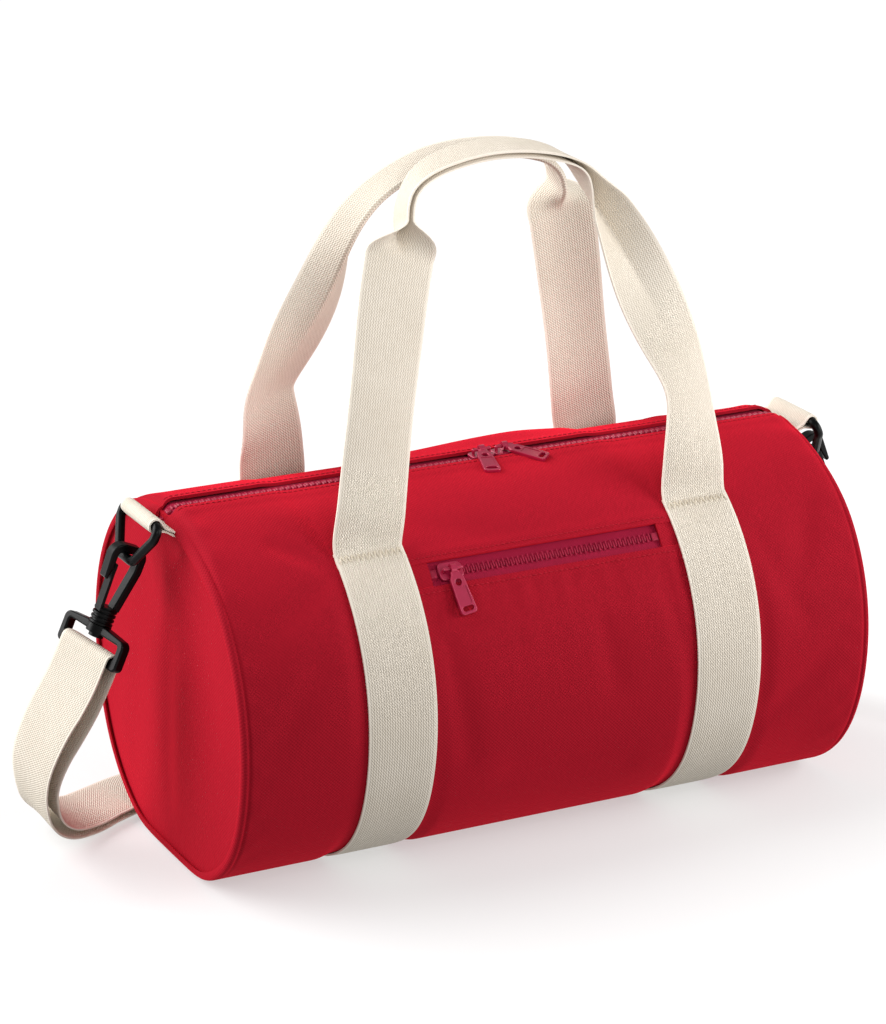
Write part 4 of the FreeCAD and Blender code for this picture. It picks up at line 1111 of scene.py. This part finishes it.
def topstitch(half, theta):
    """Starts, ends and ups of a row of stitches along the barrel at one angle, over that half length."""
    count = int(2 * half / STITCH_PITCH)
    x = np.arange(count) * STITCH_PITCH - half
    level = np.full(count, float(theta))
    ends = skin(x + STITCH_PITCH * STITCH_SHARE, level, STITCH_LIFT)
    return skin(x, level, STITCH_LIFT), ends, radial(level)


for side in SIDES:
    row = topstitch(MOUTH_STITCHED, side * (ZIP_EDGE + 1.7))
    stitches = stitch_rows(SIDES[side] + "_mouth_topstitch", *row, FINE_THREAD, THREAD_RED)
    bend_with_lip(stitches)

rows = [topstitch(POCKET_STITCHED, POCKET_TOP - 1.6), topstitch(POCKET_STITCHED, POCKET_FOOT + 1.8)]
rows = [np.concatenate(part) for part in zip(*rows)]
stitches = stitch_rows("pocket_topstitch", *rows, FINE_THREAD, THREAD_RED)
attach(stitches, "bag")

# %% Zigzags
ZIGZAG_STEPS = 23
ZIGZAG_TALL = 5.0
ZIGZAG_ANGLE = STITCH_ANGLE + 2.8
ZIGZAG_HALF = BAND_WIDTH / 2 - 1.6
STOUT_THREAD = 0.55


def zigzag(x, side):
    """A zigzag row across the webbing: stitches lean left and right in turn."""
    step = np.linspace(-ZIGZAG_HALF, ZIGZAG_HALF, ZIGZAG_STEPS)
    flip = np.where(np.arange(ZIGZAG_STEPS) % 2 == 0, 1, -1) * ZIGZAG_TALL / 2
    angle = ZIGZAG_ANGLE + flip / DEGREE
    centre = section(side * angle) + relief(x, side * angle) + SEWN + WEBBING
    points = place(x + step, side * angle, centre)
    return points[:-1], points[1:], radial(side * angle[:-1])


rows = [zigzag(end * BAND_CENTRE, side) for side in SIDES for end in ENDS]
rows = [np.concatenate(part) for part in zip(*rows)]
stitches = stitch_rows("handle_zigzag_stitches", *rows, STOUT_THREAD, THREAD_NATURAL)
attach(stitches, "bag")

# %% [markdown]
# ## Rigid pieces
# Sliders, pulls, rings, hooks, gates, swivel bases and the adjuster are cast or moulded. They could be
# modelled again here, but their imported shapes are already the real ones, so they only get finishes.

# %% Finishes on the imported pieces


def packed_finish(name):
    """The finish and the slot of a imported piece, by the words in its name."""
    if "slider" in name or "pull" in name:
        return ENAMEL_PLUM, "plum_metal"
    if "stops" in name:
        return TOOTH_PLUM, "plum_teeth"
    return ACETAL_BLACK, "black_plastic"


for name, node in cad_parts.items():
    if node.hide_render:
        continue
    finish, slot = packed_finish(name)
    node.data.materials.clear()
    node.data.materials.append(finish)
    print(name, finish.name)

# %% [markdown]
# ## Floor, light and camera
# The bag stands on a pale table that is lit from below, as studios use to get a white ground with a
# faint shadow. The table is kept from lighting the bag, so that the front turns darker towards the
# ground. A broad sun from the left and behind lights the top and the left end, a soft box at the right
# fills the front, and a weak one by the handles keeps their front from going grey.

# %% Table and surroundings
FAR = 90.0
bpy.context.scene.view_settings.view_transform = "Standard"
floor_mesh = bpy.data.meshes.new("floor")
corners = [(-FAR, -FAR, 0), (FAR, -FAR, 0), (FAR, FAR, 0), (-FAR, FAR, 0)]
floor_mesh.from_pydata(corners, [], [(0, 1, 2, 3)])
floor = bpy.data.objects.new("floor", floor_mesh)
bpy.context.scene.collection.objects.link(floor)
TABLE = {"Base Color": colour("#bcbcbc"), "Roughness": 0.9, "Specular IOR Level": 0.1}
TABLE.update({"Emission Color": colour("#ffffff"), "Emission Strength": 0.48})
floor_mesh.materials.append(start_finish("lit_white_acrylic", TABLE)[0])
floor.visible_diffuse = False
world = bpy.data.worlds.new("studio")
world.use_nodes = True
background = world.node_tree.nodes["Background"]
background.inputs["Color"].default_value = colour("#ffffff")
background.inputs["Strength"].default_value = 0.4
bpy.context.scene.world = world
print("table", TABLE["Emission Strength"], "surroundings", background.inputs["Strength"].default_value)

# %% Lights


def add_light(name, kind, spot, aim, strength, **settings):
    """A light turned to its aim. Its power is pi times its strength, per square metre for a sun."""
    light = bpy.data.lights.new(name, kind)
    light.energy = strength * math.pi
    for setting, value in settings.items():
        setattr(light, setting, value)
    lamp = bpy.data.objects.new(name, light)
    lamp.location = spot
    lamp.rotation_euler = (Vector(aim) - Vector(spot)).to_track_quat("-Z", "Y").to_euler()
    bpy.context.scene.collection.objects.link(lamp)
    print("light", name, "strength", strength)


MIDDLE = (0, 0, 0.15)
BROAD = math.radians(60)
add_light("left_back", "SUN", (-1.4, 1.0, 1.15), MIDDLE, 1.35, angle=BROAD)
add_light("right_front", "AREA", (0.8, -0.5, 0.38), MIDDLE, 2.3, size=0.6)
add_light("by_the_handles", "AREA", (-0.1, -0.7, 0.62), (-0.05, 0.1, 0.36), 0.1, size=0.3, spread=BROAD)

# %% Camera
AZIMUTH = math.radians(-26.56)
ELEVATION = math.radians(19.1)
DISTANCE = 2.0
FOCAL_PIXELS = 3603.0
PICTURE_HEIGHT = 1024
SENSOR = 36.0
TARGET = Vector((-0.0239, 0, 0.1737))
level = math.cos(ELEVATION)
back = Vector((math.sin(AZIMUTH) * level, -math.cos(AZIMUTH) * level, math.sin(ELEVATION)))
lens = bpy.data.cameras.new("camera")
lens.sensor_width = SENSOR
lens.lens = FOCAL_PIXELS / PICTURE_HEIGHT * SENSOR
camera = bpy.data.objects.new("camera", lens)
camera.location = TARGET + back * DISTANCE
camera.rotation_euler = (-back).to_track_quat("-Z", "Y").to_euler()
bpy.context.scene.collection.objects.link(camera)
bpy.context.scene.camera = camera
print("camera", round(lens.lens, 1), "mm lens,", DISTANCE, "m away")
